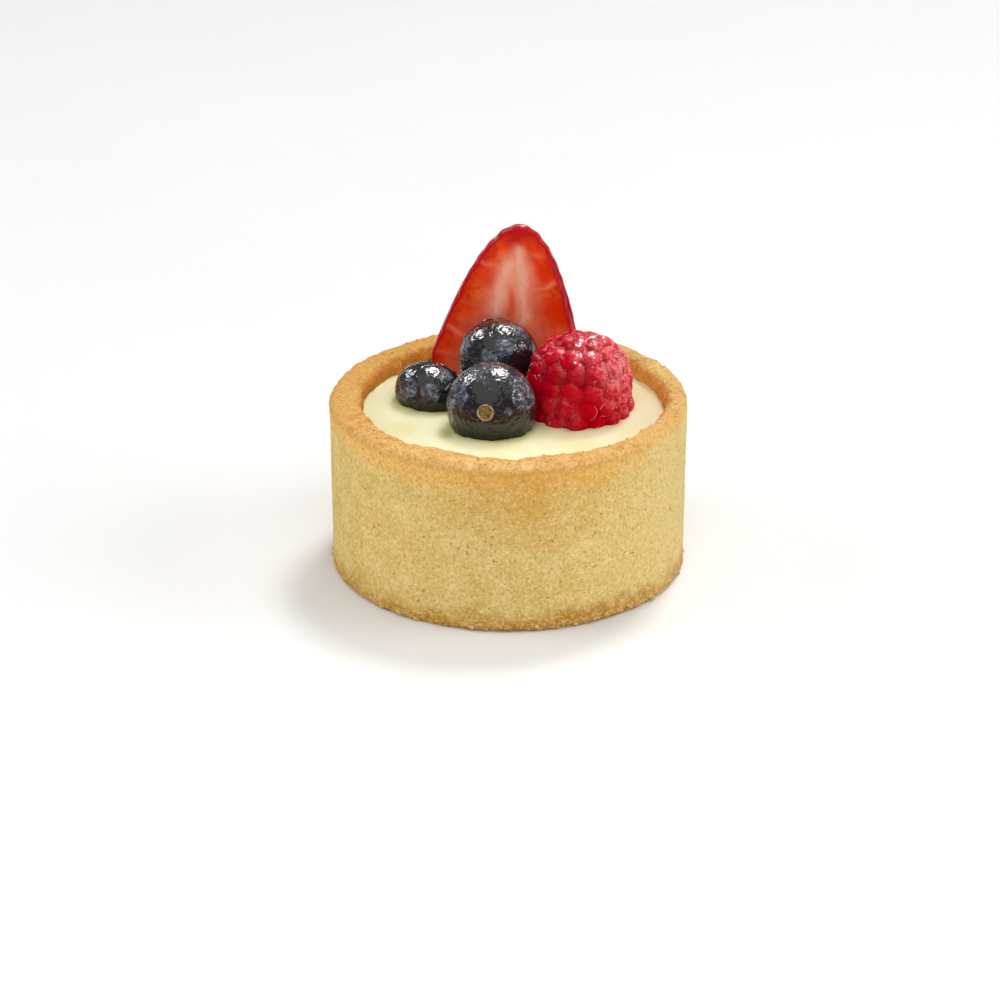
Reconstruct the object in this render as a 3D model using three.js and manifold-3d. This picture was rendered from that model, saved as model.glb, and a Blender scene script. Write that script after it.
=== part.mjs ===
// Fruit tart: a tall, straight-sided pastry cup filled with custard. Three blueberries,
// a raspberry and an upright strawberry half stand on the custard.
// Millimetres, +Z up. The origin is the middle of the cup's underside, and -Y is the front.

import * as THREE from "three";
import { mergeVertices } from "three/addons/utils/BufferGeometryUtils.js";
import Module from "manifold-3d";

const wasm = await Module();
wasm.setup();

// Clearance between pieces that touch, and the distance within which vertices are one
const GAP = 0.3;
const WELD = 1e-4;

// Pastry cup
const CUP_RADIUS = 35;
const CUP_HEIGHT = 35;
const WALL = 5.35;
const FLOOR = 5;
const WALL_LEAN = 0.3;
const FOOT_BEVEL = 0.8;
const RIM_OUTER_ROUND = { across: 1.8, down: 2.0 };
const RIM_INNER_ROUND = { across: 1.5, down: 2.2 };
const RIM_DIP = 0.2;
const BORE_SHIFT = 0.85;
const BORE_TAPER = 0.9;
const BORE_CORNER = 2;
const CUP_SIDES = 66;

// Unevenness of the rim: its height, its inner edge and the waves that make them up
const RIM_HEIGHT_SWING = 0.3;
const RIM_EDGE_SWING = 0.4;
const RIM_WAVES = [
  { count: 2, phase: 0.7, share: 0.4 },
  { count: 5, phase: 2.6, share: 0.3 },
  { count: 11, phase: 4.1, share: 0.3 },
];
const EDGE_WAVES = [
  { count: 3, phase: 1.9, share: 0.35 },
  { count: 8, phase: 0.3, share: 0.35 },
  { count: 17, phase: 5.2, share: 0.3 },
];

// Custard
const CUSTARD_LEVEL = 31;
const CUSTARD_SWING = 0.2;
const CUSTARD_SWIRL = { count: 2, length: 6 };
const CUSTARD_RINGS = 4;

// Blueberries: radius, half height along the axis from stem to crown, middle, and where
// the crown points
const BLUEBERRIES = [
  {
    name: "blueberry_front",
    radius: 8.83,
    halfHeight: 8.0,
    middle: [-3.29, -7.11, 35.3],
    crown: [0.149, 0.958, -0.246],
  },
  {
    name: "blueberry_left",
    radius: 7.1,
    halfHeight: 6.1,
    middle: [-15.46, 6.25, 32.6],
    crown: [0.42, 0.45, 0.79],
  },
  {
    name: "blueberry_back",
    radius: 7.9,
    halfHeight: 7.3,
    middle: [-2.04, 10.8, 38.5],
    crown: [-0.275, 0.619, 0.736],
  },
];
const BERRY_SIDES = 25;
const BERRY_RINGS = 8;
const SCAR_RADIUS = 1.65;
const SCAR_DEPTH = 0.6;
const CROWN_RADIUS = 3.1;
const CROWN_HEIGHT = 0.9;
const CROWN_DEPTH = 1.0;
const CROWN_LIP = 0.7;
const CROWN_LIP_SLOPE = 0.2;
const CROWN_WALL = 1.1;
const CROWN_LOBES = 5;
const CROWN_FLARE = 0.12;
const CROWN_DIP = 0.55;

// Raspberry: a blunt dome of small round drupelets in staggered rows
const RASPBERRY_MIDDLE = [14.0, 1.3];
const RASPBERRY_RADIUS = 10.7;
const RASPBERRY_TOP = 46.8;
const RASPBERRY_SINK = 0.9;
const RASPBERRY_BLUNTNESS = 2.5;
const DRUPELET_RADIUS = 2.35;
const DRUPELET_SHRINK = 0.22;
const DRUPELET_SCATTER = 0.16;
const DRUPELET_ROWS = 7;
const DRUPELET_SPACING = 3.5;
const DRUPELET_SIDES = 7;
const DRUPELET_RINGS = [180, 62, 29, 0];
const DRUPELET_SEAT = 0.8;
const CORE_INSET = 0.9;
const CORE_SIDES = 24;
const CORE_RINGS = 6;
const DOME_STEPS = 24;
const RASPBERRY_SEED = 7;

// Strawberry half: it stands tip up behind the berries with its cut face to the front
const STRAWBERRY_TIP = [2.5, 19.0, 62.8];
const STRAWBERRY_LENGTH = 35.5;
const STRAWBERRY_HALF_WIDTH = 15.8;
const STRAWBERRY_TIP_RADIUS = 4.0;
const STRAWBERRY_LEAN = 5.3;
const STRAWBERRY_FLATNESS = 0.55;
const STRAWBERRY_CUT = 1.1;
const STRAWBERRY_SHOULDER = 28;
const STRAWBERRY_NARROWING = 0.85;
const STRAWBERRY_PIT = 2.0;
const STRAWBERRY_SIDES = 40;
const STRAWBERRY_RINGS = 20;
const STRAWBERRY_RING_EASE = 1.3;
const DIMPLE_DEPTH = 0.45;
const DIMPLE_FREE_RADIUS = 1.8;

// Finishes
const PASTRY = { color: 0xdcb877, roughness: 0.85, metalness: 0 };
const CUSTARD = { color: 0xf3e8bb, roughness: 0.35, metalness: 0 };
const BLUEBERRY = { color: 0x2c2f3d, roughness: 0.3, metalness: 0 };
const RASPBERRY = { color: 0xad0f25, roughness: 0.35, metalness: 0 };
const STRAWBERRY = { color: 0xc2311c, roughness: 0.3, metalness: 0 };

const UP = new THREE.Vector3(0, 0, 1);

// Seeded random numbers from 0 to 1
function randomFrom(seed) {
  let state = seed;
  return () => {
    state = (state * 1664525 + 1013904223) % 4294967296;
    return state / 4294967296;
  };
}

function smoothstep(low, high, value) {
  return THREE.MathUtils.smoothstep(value, low, high);
}

// Sum of a few waves round a circle, from -1 to 1
function wobble(angle, waves) {
  return waves.reduce((sum, w) => sum + w.share * Math.cos(w.count * angle + w.phase), 0);
}

// Closed solid of revolution about Z, from a profile that runs from the bottom of the
// axis round the outside to its top. Its first column faces the front.
function turned(profile, sides) {
  return new THREE.LatheGeometry(profile, sides).rotateX(Math.PI / 2);
}

// Moves every vertex of a turned solid; move gets and returns angle, radius and height
function reshape(geometry, move) {
  const position = geometry.attributes.position;
  for (let i = 0; i < position.count; i += 1) {
    const x = position.getX(i);
    const y = position.getY(i);
    const place = move(Math.atan2(x, -y), Math.hypot(x, y), position.getZ(i));
    position.setXYZ(
      i,
      place.radius * Math.sin(place.angle),
      -place.radius * Math.cos(place.angle),
      place.height,
    );
  }
  return geometry;
}

// Same surface with shared vertices and no triangle that has collapsed to a line
function welded(geometry) {
  const bare = geometry.clone();
  bare.deleteAttribute("normal");
  bare.deleteAttribute("uv");
  const merged = mergeVertices(bare, WELD);
  const corners = merged.index.array;
  const kept = [];
  for (let i = 0; i < corners.length; i += 3) {
    const [a, b, c] = [corners[i], corners[i + 1], corners[i + 2]];
    if (a !== b && b !== c && c !== a) {
      kept.push(a, b, c);
    }
  }
  merged.setIndex(kept);
  return merged;
}

function toSolid(geometry) {
  const closed = welded(geometry);
  return new wasm.Manifold(
    new wasm.Mesh({
      numProp: 3,
      vertProperties: Float32Array.from(closed.attributes.position.array),
      triVerts: Uint32Array.from(closed.index.array),
    }),
  );
}

// The largest body of a solid, without loose scraps and sealed hollows
function mainBody(solid) {
  const bodies = solid.decompose();
  return bodies.reduce((best, body) => (body.volume() > best.volume() ? body : best));
}

function fromSolid(solid) {
  const { vertProperties, triVerts } = mainBody(solid).getMesh();
  const geometry = new THREE.BufferGeometry();
  geometry.setAttribute("position", new THREE.BufferAttribute(vertProperties, 3));
  geometry.setIndex(new THREE.BufferAttribute(triVerts, 1));
  return geometry;
}

function namedMesh(name, geometry, finish) {
  geometry.computeVertexNormals();
  const mesh = new THREE.Mesh(geometry, new THREE.MeshStandardMaterial(finish));
  mesh.name = name;
  return mesh;
}

// Turns a piece so that its own Z axis points along a direction, and moves it into place
function stand(geometry, direction, middle) {
  const turn = new THREE.Quaternion().setFromUnitVectors(
    UP,
    new THREE.Vector3(...direction).normalize(),
  );
  return geometry.applyQuaternion(turn).translate(...middle);
}

// Mean radius of the cup's bore, whose axis lies BORE_SHIFT to the right of the cup's
function boreRadius(height) {
  return CUP_RADIUS - WALL - BORE_TAPER * (1 - height / CUSTARD_LEVEL);
}

// The inner wall is even at the floor and most uneven at the rim
function edgeSwing(angle, height) {
  return RIM_EDGE_SWING * wobble(angle, EDGE_WAVES) * smoothstep(FLOOR, CUP_HEIGHT, height);
}

// Outline of the cup's wall and floor, from the middle of its underside over the rim to
// the middle of its floor
function cupProfile() {
  const footRadius = CUP_RADIUS - WALL_LEAN;
  const crestRadius = CUP_RADIUS - RIM_OUTER_ROUND.across;
  const innerCrest = CUP_RADIUS - WALL + RIM_INNER_ROUND.across;
  const floorRadius = boreRadius(FLOOR);
  const outline = new THREE.Path();
  outline.moveTo(0, 0);
  outline.lineTo(footRadius - FOOT_BEVEL, 0);
  outline.lineTo(footRadius, FOOT_BEVEL);
  outline.absellipse(
    crestRadius,
    CUP_HEIGHT - RIM_OUTER_ROUND.down,
    RIM_OUTER_ROUND.across,
    RIM_OUTER_ROUND.down,
    0,
    Math.PI / 2,
  );
  outline.absellipse(
    innerCrest,
    CUP_HEIGHT - RIM_DIP - RIM_INNER_ROUND.down,
    RIM_INNER_ROUND.across,
    RIM_INNER_ROUND.down,
    Math.PI / 2,
    Math.PI,
  );
  outline.lineTo(floorRadius, FLOOR + BORE_CORNER);
  outline.lineTo(floorRadius - BORE_CORNER, FLOOR);
  outline.lineTo(0, FLOOR);
  return outline.getPoints(2);
}

// Whether a point of the cup's profile lies on its bore or floor
function insideCup(radius, height) {
  return radius < CUP_RADIUS - WALL + RIM_INNER_ROUND.across + WELD && height > FOOT_BEVEL;
}

// The cup, with an uneven rim and its bore a little to the right of its own middle
function makeCrust() {
  const cup = reshape(turned(cupProfile(), CUP_SIDES), (angle, radius, height) => {
    const lift = RIM_HEIGHT_SWING * wobble(angle, RIM_WAVES);
    const top = height + lift * smoothstep(CUSTARD_LEVEL, CUP_HEIGHT, height);
    if (!insideCup(radius, height)) {
      return { angle, radius, height: top };
    }
    const reach = radius + edgeSwing(angle, height);
    const x = reach * Math.sin(angle) + BORE_SHIFT;
    const y = -reach * Math.cos(angle);
    return { angle: Math.atan2(x, -y), radius: Math.hypot(x, y), height: top };
  });
  return namedMesh("crust", welded(cup), PASTRY);
}

// Outline of the filling, a gap inside the cup, with rings on top for its gentle waves
function fillingProfile() {
  const bottom = FLOOR + GAP;
  const edge = boreRadius(CUSTARD_LEVEL) - GAP;
  const floorEdge = boreRadius(FLOOR) - GAP;
  const points = [
    [0, bottom],
    [floorEdge - BORE_CORNER, bottom],
    [floorEdge, bottom + BORE_CORNER],
    [edge, CUSTARD_LEVEL],
  ];
  for (let ring = CUSTARD_RINGS - 1; ring >= 0; ring -= 1) {
    points.push([(edge * ring) / CUSTARD_RINGS, CUSTARD_LEVEL]);
  }
  return points.map(([radius, height]) => new THREE.Vector2(radius, height));
}

function makeCustard(pockets) {
  const edge = boreRadius(CUSTARD_LEVEL) - 2 * GAP;
  const filling = reshape(turned(fillingProfile(), CUP_SIDES), (angle, radius, height) => {
    const turn = radius / CUSTARD_SWIRL.length + CUSTARD_SWIRL.count * angle;
    const swell = Math.sin(turn) * (radius / edge);
    const onTop = smoothstep(CUSTARD_LEVEL - 1, CUSTARD_LEVEL, height);
    return {
      angle,
      radius: radius > edge - BORE_TAPER ? radius + edgeSwing(angle, height) : radius,
      height: height + CUSTARD_SWING * swell * onTop,
    };
  });
  let solid = toSolid(filling.translate(BORE_SHIFT, 0, 0));
  for (const pocket of pockets) {
    solid = solid.subtract(pocket);
  }
  return namedMesh("custard", fromSolid(solid), CUSTARD);
}

// Outline of a blueberry from the hollow stem scar over its round side to the crown. A
// grown one, for the pocket that the berry lies in, has no hollows.
function berryProfile(radius, halfHeight, grow) {
  const wide = radius + grow;
  const tall = halfHeight + grow;
  const start = Math.asin(SCAR_RADIUS / wide);
  const end = Math.PI - Math.asin((CROWN_RADIUS + grow) / wide);
  const hollow = grow > 0 ? 0 : 1;
  const points = [new THREE.Vector2(0, -tall * Math.cos(start) + SCAR_DEPTH * hollow)];
  for (let ring = 0; ring <= BERRY_RINGS; ring += 1) {
    const turn = start + ((end - start) * ring) / BERRY_RINGS;
    points.push(new THREE.Vector2(wide * Math.sin(turn), -tall * Math.cos(turn)));
  }
  const brow = -tall * Math.cos(end);
  const lip = brow + CROWN_HEIGHT + grow;
  const dish = lip - (CROWN_HEIGHT + CROWN_DEPTH) * hollow;
  points.push(new THREE.Vector2(CROWN_RADIUS + grow, lip));
  points.push(new THREE.Vector2(CROWN_RADIUS - CROWN_LIP, lip - CROWN_LIP_SLOPE * hollow));
  points.push(new THREE.Vector2(CROWN_RADIUS - CROWN_WALL, dish));
  points.push(new THREE.Vector2(0, dish));
  return points;
}

// A blueberry in its place; the lobes of its crown lean out and the lip dips between them
function blueberry({ radius, halfHeight, middle, crown }, grow = 0) {
  const profile = berryProfile(radius, halfHeight, grow);
  const lip = profile[BERRY_RINGS + 2].y;
  const shape = reshape(turned(profile, BERRY_SIDES), (angle, reach, height) => {
    const lobe = grow > 0 ? 1 : 0.5 + 0.5 * Math.cos(CROWN_LOBES * angle);
    const onCrown = smoothstep(lip - CROWN_HEIGHT, lip, height);
    return {
      angle,
      radius: reach * (1 + CROWN_FLARE * onCrown * lobe),
      height: height - CROWN_DIP * onCrown * (1 - lobe),
    };
  });
  return stand(shape, crown, middle);
}

// Upright outline of a blunt dome, from its foot to its top
function domeOutline(reach, low, high) {
  const points = Array.from({ length: DOME_STEPS + 1 }, (_, step) => {
    const turn = (step / DOME_STEPS) * (Math.PI / 2);
    const across = step === DOME_STEPS ? 0 : Math.cos(turn) ** (2 / RASPBERRY_BLUNTNESS);
    const up = Math.sin(turn) ** (2 / RASPBERRY_BLUNTNESS);
    return new THREE.Vector2(reach * across, low + (high - low) * up);
  });
  return new THREE.SplineCurve(points);
}

// Rows of drupelets at even distances up the dome, from the custard to the tip
function drupeletRows() {
  const random = randomFrom(RASPBERRY_SEED);
  const shake = () => DRUPELET_SCATTER * (random() - 0.5);
  const low = CUSTARD_LEVEL - RASPBERRY_SINK + DRUPELET_RADIUS * DRUPELET_SEAT;
  const high = RASPBERRY_TOP - DRUPELET_RADIUS * (1 - DRUPELET_SHRINK);
  const dome = domeOutline(RASPBERRY_RADIUS - DRUPELET_RADIUS, low, high);
  return Array.from({ length: DRUPELET_ROWS }, (_, row) => {
    const climb = row / (DRUPELET_ROWS - 1);
    const size = DRUPELET_RADIUS * (1 - DRUPELET_SHRINK * climb);
    const spot = dome.getPointAt(climb);
    const count = Math.max(1, Math.round((2 * Math.PI * spot.x) / DRUPELET_SPACING));
    return Array.from({ length: count }, (_, i) => {
      const angle = (2 * Math.PI * (i + 0.5 * (row % 2))) / count;
      return {
        x: spot.x * Math.cos(angle) + size * shake(),
        y: spot.x * Math.sin(angle) + size * shake(),
        z: spot.y + size * shake(),
        radius: size * (1 + shake()),
      };
    });
  });
}

// The dome that the drupelets sit on
function raspberryCore(grow) {
  const base = CUSTARD_LEVEL - RASPBERRY_SINK - grow;
  const reach = RASPBERRY_RADIUS - DRUPELET_RADIUS * CORE_INSET + grow;
  const top = RASPBERRY_TOP - DRUPELET_RADIUS * CORE_INSET + grow;
  const outline = domeOutline(reach, base, top).getSpacedPoints(CORE_RINGS);
  return turned([new THREE.Vector2(0, base), ...outline], CORE_SIDES);
}

// A drupelet in its place: a ball whose round end points out of the dome, and whose
// hidden end is a plain cone
function drupelet({ x, y, z, radius }, grow) {
  const size = radius + grow;
  const profile = DRUPELET_RINGS.map((degrees) => {
    const turn = THREE.MathUtils.degToRad(degrees);
    return new THREE.Vector2(size * Math.sin(turn), size * Math.cos(turn));
  });
  const outward = [x, y, z - CUSTARD_LEVEL - DRUPELET_RADIUS];
  return stand(turned(profile, DRUPELET_SIDES), outward, [x, y, z]);
}

// Core and drupelets joined into one solid, on the raspberry's place
function raspberrySolid(spots, grow) {
  const core = toSolid(raspberryCore(grow));
  const berry = spots.reduce((whole, spot) => whole.add(toSolid(drupelet(spot, grow))), core);
  return toSolid(fromSolid(berry).translate(...RASPBERRY_MIDDLE, 0));
}

// Half width of the strawberry at a distance below its tip: a parabola that rounds off
// at the shoulder
function strawberryHalfWidth(depth) {
  const cone = Math.sqrt(2 * STRAWBERRY_TIP_RADIUS * depth);
  const past = Math.max(0, depth - STRAWBERRY_SHOULDER);
  const rounding = past / (STRAWBERRY_LENGTH - STRAWBERRY_SHOULDER);
  return Math.min(cone, STRAWBERRY_HALF_WIDTH) * Math.sqrt(1 - STRAWBERRY_NARROWING * rounding ** 2);
}

// Whole strawberry, dimpled where its seeds lie, with its tip at the origin
function wholeStrawberry(grow) {
  const points = [new THREE.Vector2(0, -STRAWBERRY_LENGTH + STRAWBERRY_PIT - grow)];
  for (let ring = STRAWBERRY_RINGS; ring >= 0; ring -= 1) {
    const share = ring / STRAWBERRY_RINGS;
    const depth = STRAWBERRY_LENGTH * share ** STRAWBERRY_RING_EASE;
    const width = ring === 0 ? 0 : strawberryHalfWidth(depth) + grow;
    points.push(new THREE.Vector2(width, grow * (1 - 2 * share) - depth));
  }
  const shape = turned(points, STRAWBERRY_SIDES);
  return grow > 0 ? shape : dimpled(shape, points.length);
}

// Pulls in every second vertex of every second ring
function dimpled(geometry, ringCount) {
  const position = geometry.attributes.position;
  for (let i = 0; i < position.count; i += 1) {
    const ring = i % ringCount;
    const side = Math.floor(i / ringCount);
    const reach = Math.hypot(position.getX(i), position.getY(i));
    if (ring % 2 === 0 && (side + ring / 2) % 2 === 0 && reach > DIMPLE_FREE_RADIUS) {
      const shrink = 1 - DIMPLE_DEPTH / reach;
      position.setX(i, position.getX(i) * shrink);
      position.setY(i, position.getY(i) * shrink);
    }
  }
  return geometry;
}

function strawberryHalf(grow = 0) {
  const [x, y, z] = STRAWBERRY_TIP;
  const lean = THREE.MathUtils.degToRad(STRAWBERRY_LEAN);
  const berry = wholeStrawberry(grow)
    .scale(1, STRAWBERRY_FLATNESS, 1)
    .rotateY(lean)
    .translate(x, y + STRAWBERRY_CUT, z);
  const block = new THREE.BoxGeometry(
    4 * STRAWBERRY_LENGTH,
    2 * STRAWBERRY_LENGTH,
    4 * STRAWBERRY_LENGTH,
  ).translate(x, y - grow - STRAWBERRY_LENGTH, z);
  return toSolid(berry).subtract(toSolid(block));
}

function makeTart() {
  const tart = new THREE.Group();
  const rows = drupeletRows();
  const pockets = [raspberrySolid(rows[0], GAP), strawberryHalf(GAP)];
  for (const berry of BLUEBERRIES) {
    pockets.push(toSolid(blueberry(berry, GAP)));
    tart.add(namedMesh(berry.name, welded(blueberry(berry)), BLUEBERRY));
  }
  tart.add(namedMesh("raspberry", fromSolid(raspberrySolid(rows.flat(), 0)), RASPBERRY));
  tart.add(namedMesh("strawberry_half", fromSolid(strawberryHalf()), STRAWBERRY));
  tart.add(makeCrust());
  tart.add(makeCustard(pockets));
  return tart;
}

export default makeTart();
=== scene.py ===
"""A fruit tart: a baked pastry cup of custard with three blueberries, a raspberry and half a strawberry.

Lengths are millimetres in the frame of the CAD part, and become metres where a mesh is made.
Angles round the cup are 0 at its front (-Y) and a quarter turn at its right (+X).
"""

import math

import bpy
import numpy as np
from mathutils import Matrix, Vector
from mathutils.bvhtree import BVHTree


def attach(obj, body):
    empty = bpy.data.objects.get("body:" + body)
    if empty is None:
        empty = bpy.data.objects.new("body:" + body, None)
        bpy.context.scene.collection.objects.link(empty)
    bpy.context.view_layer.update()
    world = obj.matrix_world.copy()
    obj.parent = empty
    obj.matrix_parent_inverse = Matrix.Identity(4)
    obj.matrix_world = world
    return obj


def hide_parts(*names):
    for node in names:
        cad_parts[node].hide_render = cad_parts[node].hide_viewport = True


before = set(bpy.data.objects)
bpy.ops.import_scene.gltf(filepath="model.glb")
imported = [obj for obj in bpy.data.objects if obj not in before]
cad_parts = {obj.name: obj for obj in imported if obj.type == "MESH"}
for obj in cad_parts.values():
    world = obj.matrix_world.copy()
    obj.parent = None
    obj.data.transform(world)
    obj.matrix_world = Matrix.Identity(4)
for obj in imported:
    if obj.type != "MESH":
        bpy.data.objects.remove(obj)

METRE = 1000.0
GAP = 0.3

# Pastry cup, as in the CAD part
CUP_RADIUS = 35.0
CUP_HEIGHT = 35.0
WALL = 5.35
FLOOR = 5.0
WALL_LEAN = 0.3
FOOT_BEVEL = 0.8
RIM_OUTER_ROUND = (1.8, 2.0)
RIM_INNER_ROUND = (1.5, 2.2)
RIM_DIP = 0.2
BORE_SHIFT = 0.85
BORE_TAPER = 0.9
BORE_CORNER = 2.0
RIM_HEIGHT_SWING = 0.3
RIM_EDGE_SWING = 0.4
RIM_WAVES = [(2, 0.7, 0.4), (5, 2.6, 0.3), (11, 4.1, 0.3)]
EDGE_WAVES = [(3, 1.9, 0.35), (8, 0.3, 0.35), (17, 5.2, 0.3)]
CRUST_SIDES = 780
WALL_STEP = 0.43
CRUMB_SEED = 11

# Custard, as in the CAD part
CUSTARD_LEVEL = 31.0
CUSTARD_SWING = 0.2
CUSTARD_SWIRL_LENGTH = 6.0
CUSTARD_SIDES = 440
CUSTARD_RINGS = 110

# Blueberries, as in the CAD part
BLUEBERRIES = {
    "blueberry_front": {
        "radius": 8.83,
        "half_height": 8.0,
        "middle": (-3.29, -7.11, 35.3),
        "crown": (0.149, 0.958, -0.246),
        # Each bloom entry: directions and spreads of patches that are bloom and painted reflection.
        "bloom": [
            ((-0.80, -0.38, 0.48), 0.46),
            ((-0.35, -0.05, 0.94), 0.44),
            ((0.70, -0.45, 0.55), 0.50),
            ((0.39, -0.88, 0.25), 0.16),
        ],
    },
    "blueberry_left": {
        "radius": 7.1,
        "half_height": 6.1,
        "middle": (-15.46, 6.25, 32.6),
        "crown": (0.42, 0.45, 0.79),
        "bloom": [
            ((-0.62, -0.65, 0.40), 0.32),
            ((0.02, -0.90, 0.35), 0.26),
            ((0.48, -0.45, 0.75), 0.25),
        ],
    },
    "blueberry_back": {
        "radius": 7.9,
        "half_height": 7.3,
        "middle": (-2.04, 10.8, 38.5),
        "crown": (-0.275, 0.619, 0.736),
        "bloom": [
            ((0.12, -0.78, 0.60), 0.30),
            ((0.52, -0.30, 0.80), 0.27),
            ((-0.79, -0.26, 0.55), 0.30),
            ((-0.25, -0.90, 0.35), 0.25),
        ],
    },
}
SCAR_RADIUS = 1.65
SCAR_DEPTH = 0.6
CROWN_RADIUS = 3.1
CROWN_HEIGHT = 0.9
CROWN_DEPTH = 1.0
CROWN_LIP = 0.7
CROWN_LIP_SLOPE = 0.2
CROWN_WALL = 1.1
CROWN_LOBES = 5
CROWN_FLARE = 0.06
CROWN_DIP = 0.22
CROWN_SHRIVELLED = 0.3
WRINKLE_ACROSS = np.array([0.35, 0.35, 2.6])
WRINKLE_ALONG = np.array([1.5, 1.5, 0.35])
BERRY_SIDES = 260
BERRY_STEP = 0.15

# Raspberry, as in the CAD part
RASPBERRY_MIDDLE = (14.0, 1.3)
RASPBERRY_RADIUS = 10.7
RASPBERRY_TOP = 46.8
RASPBERRY_SINK = 0.9
RASPBERRY_BLUNTNESS = 2.5
DRUPELET_RADIUS = 2.35
DRUPELET_SHRINK = 0.22
DRUPELET_SCATTER = 0.16
DRUPELET_ROWS = 7
DRUPELET_SPACING = 3.5
DRUPELET_SEAT = 0.8
CORE_INSET = 0.9
RASPBERRY_SEED = 7
RASPBERRY_SIDES = 380
RASPBERRY_RINGS = 240
DRUPELET_BLEND = 0.42
DRUPELET_SWELL = 0.42
DRUPELET_WARP = 0.05
HAIR_SEED = 5
BARE_SIDE = (-0.25, -0.95, 0.15)
PALE_FRONT = (-0.35, -0.85, -0.30)

# Strawberry half, as in the CAD part
STRAWBERRY_TIP = (2.5, 19.0, 62.8)
STRAWBERRY_LENGTH = 35.5
STRAWBERRY_HALF_WIDTH = 15.8
STRAWBERRY_TIP_RADIUS = 4.0
STRAWBERRY_LEAN = 5.3
STRAWBERRY_FLATNESS = 0.55
STRAWBERRY_CUT = 1.1
STRAWBERRY_SHOULDER = 28.0
STRAWBERRY_NARROWING = 0.85
STRAWBERRY_PIT = 2.0
SEED_SIDES = 40
SEED_RINGS = 20
RING_EASE = 1.3
DIMPLE_DEPTH = 0.45
DIMPLE_FREE_RADIUS = 1.8
SKIN_ROLL = 1.15
STRAWBERRY_ROWS = 170
SKIN_COLUMNS = 150
FACE_COLUMNS = 150

# Camera, 800 mm in front of the tart and looking down on it
CAMERA_TARGET = (-1.645, 0.0, 12.15)
CAMERA_DISTANCE = 800.0
CAMERA_ELEVATION = 24.4
CAMERA_LENS = 145.44
SENSOR_WIDTH = 36.0


def smoothstep(low, high, value):
    """A smooth climb from 0 at low to 1 at high."""
    part = np.clip((np.asarray(value, float) - low) / (high - low), 0, 1)
    return part * part * (3 - 2 * part)


def hill(offset, half_width):
    """A smooth hill of height 1 over offset 0."""
    return np.exp(-((np.asarray(offset, float) / half_width) ** 2))


def wobble(angle, waves):
    """Sum of a few waves round a circle, from -1 to 1."""
    return sum(share * np.cos(count * angle + phase) for count, phase, share in waves)


def lattice(corner, seed):
    """A repeatable value between -1 and 1 for each corner of a grid of whole numbers."""
    mixed = corner @ np.array([374761393, 668265263, 1274126177]) + seed * 1442695041
    mixed = (mixed ^ (mixed >> 13)) * 1274126177
    mixed = mixed ^ (mixed >> 16)
    return (mixed & 0xFFFF) / 32767.5 - 1


def noise(points, cell, seed=0):
    """Smooth noise between -1 and 1 with bumps about one cell across."""
    at = points / cell
    corner = np.floor(at).astype(np.int64)
    part = at - corner
    ease = part * part * (3 - 2 * part)
    total = np.zeros(len(points))
    for step in np.ndindex(2, 2, 2):
        share = np.prod(np.where(np.array(step) == 1, ease, 1 - ease), axis=1)
        total += share * lattice(corner + step, seed)
    return total


def rough_noise(points, cell, octaves, seed=0):
    """Noise with finer and fainter bumps added, between about -1 and 1."""
    layers = [noise(points, cell / 2**i, seed + i) / 2**i for i in range(octaves)]
    return sum(layers) / 1.5


def unit(vector):
    """The vector or rows of vectors with length 1."""
    vector = np.asarray(vector, float)
    return vector / np.linalg.norm(vector, axis=-1, keepdims=True)


def full_turn(count):
    """Angles spread evenly round a circle."""
    return 2 * math.pi * np.arange(count) / count


def turned(reach, angle, height):
    """Points by distance, angle and height, with angle 0 at the front."""
    return np.stack([reach * np.sin(angle), -reach * np.cos(angle), height], axis=-1)


def ball_rings(rows, columns):
    """Rings of a ball of radius 1, from its underside up."""
    turn = math.pi * np.arange(1, rows)[:, None] / rows
    around = full_turn(columns)
    across = np.sin(turn)
    return np.stack([across * np.cos(around), across * np.sin(around), 0 * around - np.cos(turn)], axis=-1)


def grid_quads(rows, columns):
    """Quads between neighbouring rows of vertices, closed round each row."""
    row, column = np.meshgrid(np.arange(rows - 1), np.arange(columns), indexing="ij")
    here = (row * columns + column).ravel()
    beside = (row * columns + (column + 1) % columns).ravel()
    return np.column_stack([here, beside, beside + columns, here + columns]).tolist()


def closed_skin(rings, first, last):
    """Vertices and faces of a closed skin of rings between a first and a last pole."""
    rows, columns, _ = rings.shape
    points = np.vstack([rings.reshape(-1, 3), [first], [last]])
    faces = grid_quads(rows, columns)
    top = (rows - 1) * columns
    for i in range(columns):
        beside = (i + 1) % columns
        faces.append([rows * columns, beside, i])
        faces.append([rows * columns + 1, top + i, top + beside])
    return points, faces


def add_piece(name, points, faces, material):
    """A smooth mesh object from points in millimetres, with its faces turned outward."""
    mesh = bpy.data.meshes.new(name)
    mesh.from_pydata((np.asarray(points) / METRE).tolist(), [], faces)
    mesh.validate()
    mesh.shade_smooth()
    mesh.materials.append(material)
    piece = bpy.data.objects.new(name, mesh)
    bpy.context.scene.collection.objects.link(piece)
    return piece


def paint(piece, **shares):
    """Stores numbers for each vertex, for the piece's material."""
    for name, values in shares.items():
        attribute = piece.data.attributes.new(name, "FLOAT", "POINT")
        attribute.data.foreach_set("value", np.asarray(values, np.float32))


def dress(piece, slot, *nodes):
    """Lets a piece ride on the tart and stand for CAD nodes, whose parts it hides; the slot is not used.
    """
    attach(piece, "root")
    if nodes:
        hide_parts(*nodes)
    return piece


def surface_tree(piece):
    """Search tree over a piece's faces, in millimetres."""
    points = [vertex.co * METRE for vertex in piece.data.vertices]
    faces = [tuple(polygon.vertices) for polygon in piece.data.polygons]
    return BVHTree.FromPolygons(points, faces)


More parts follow.
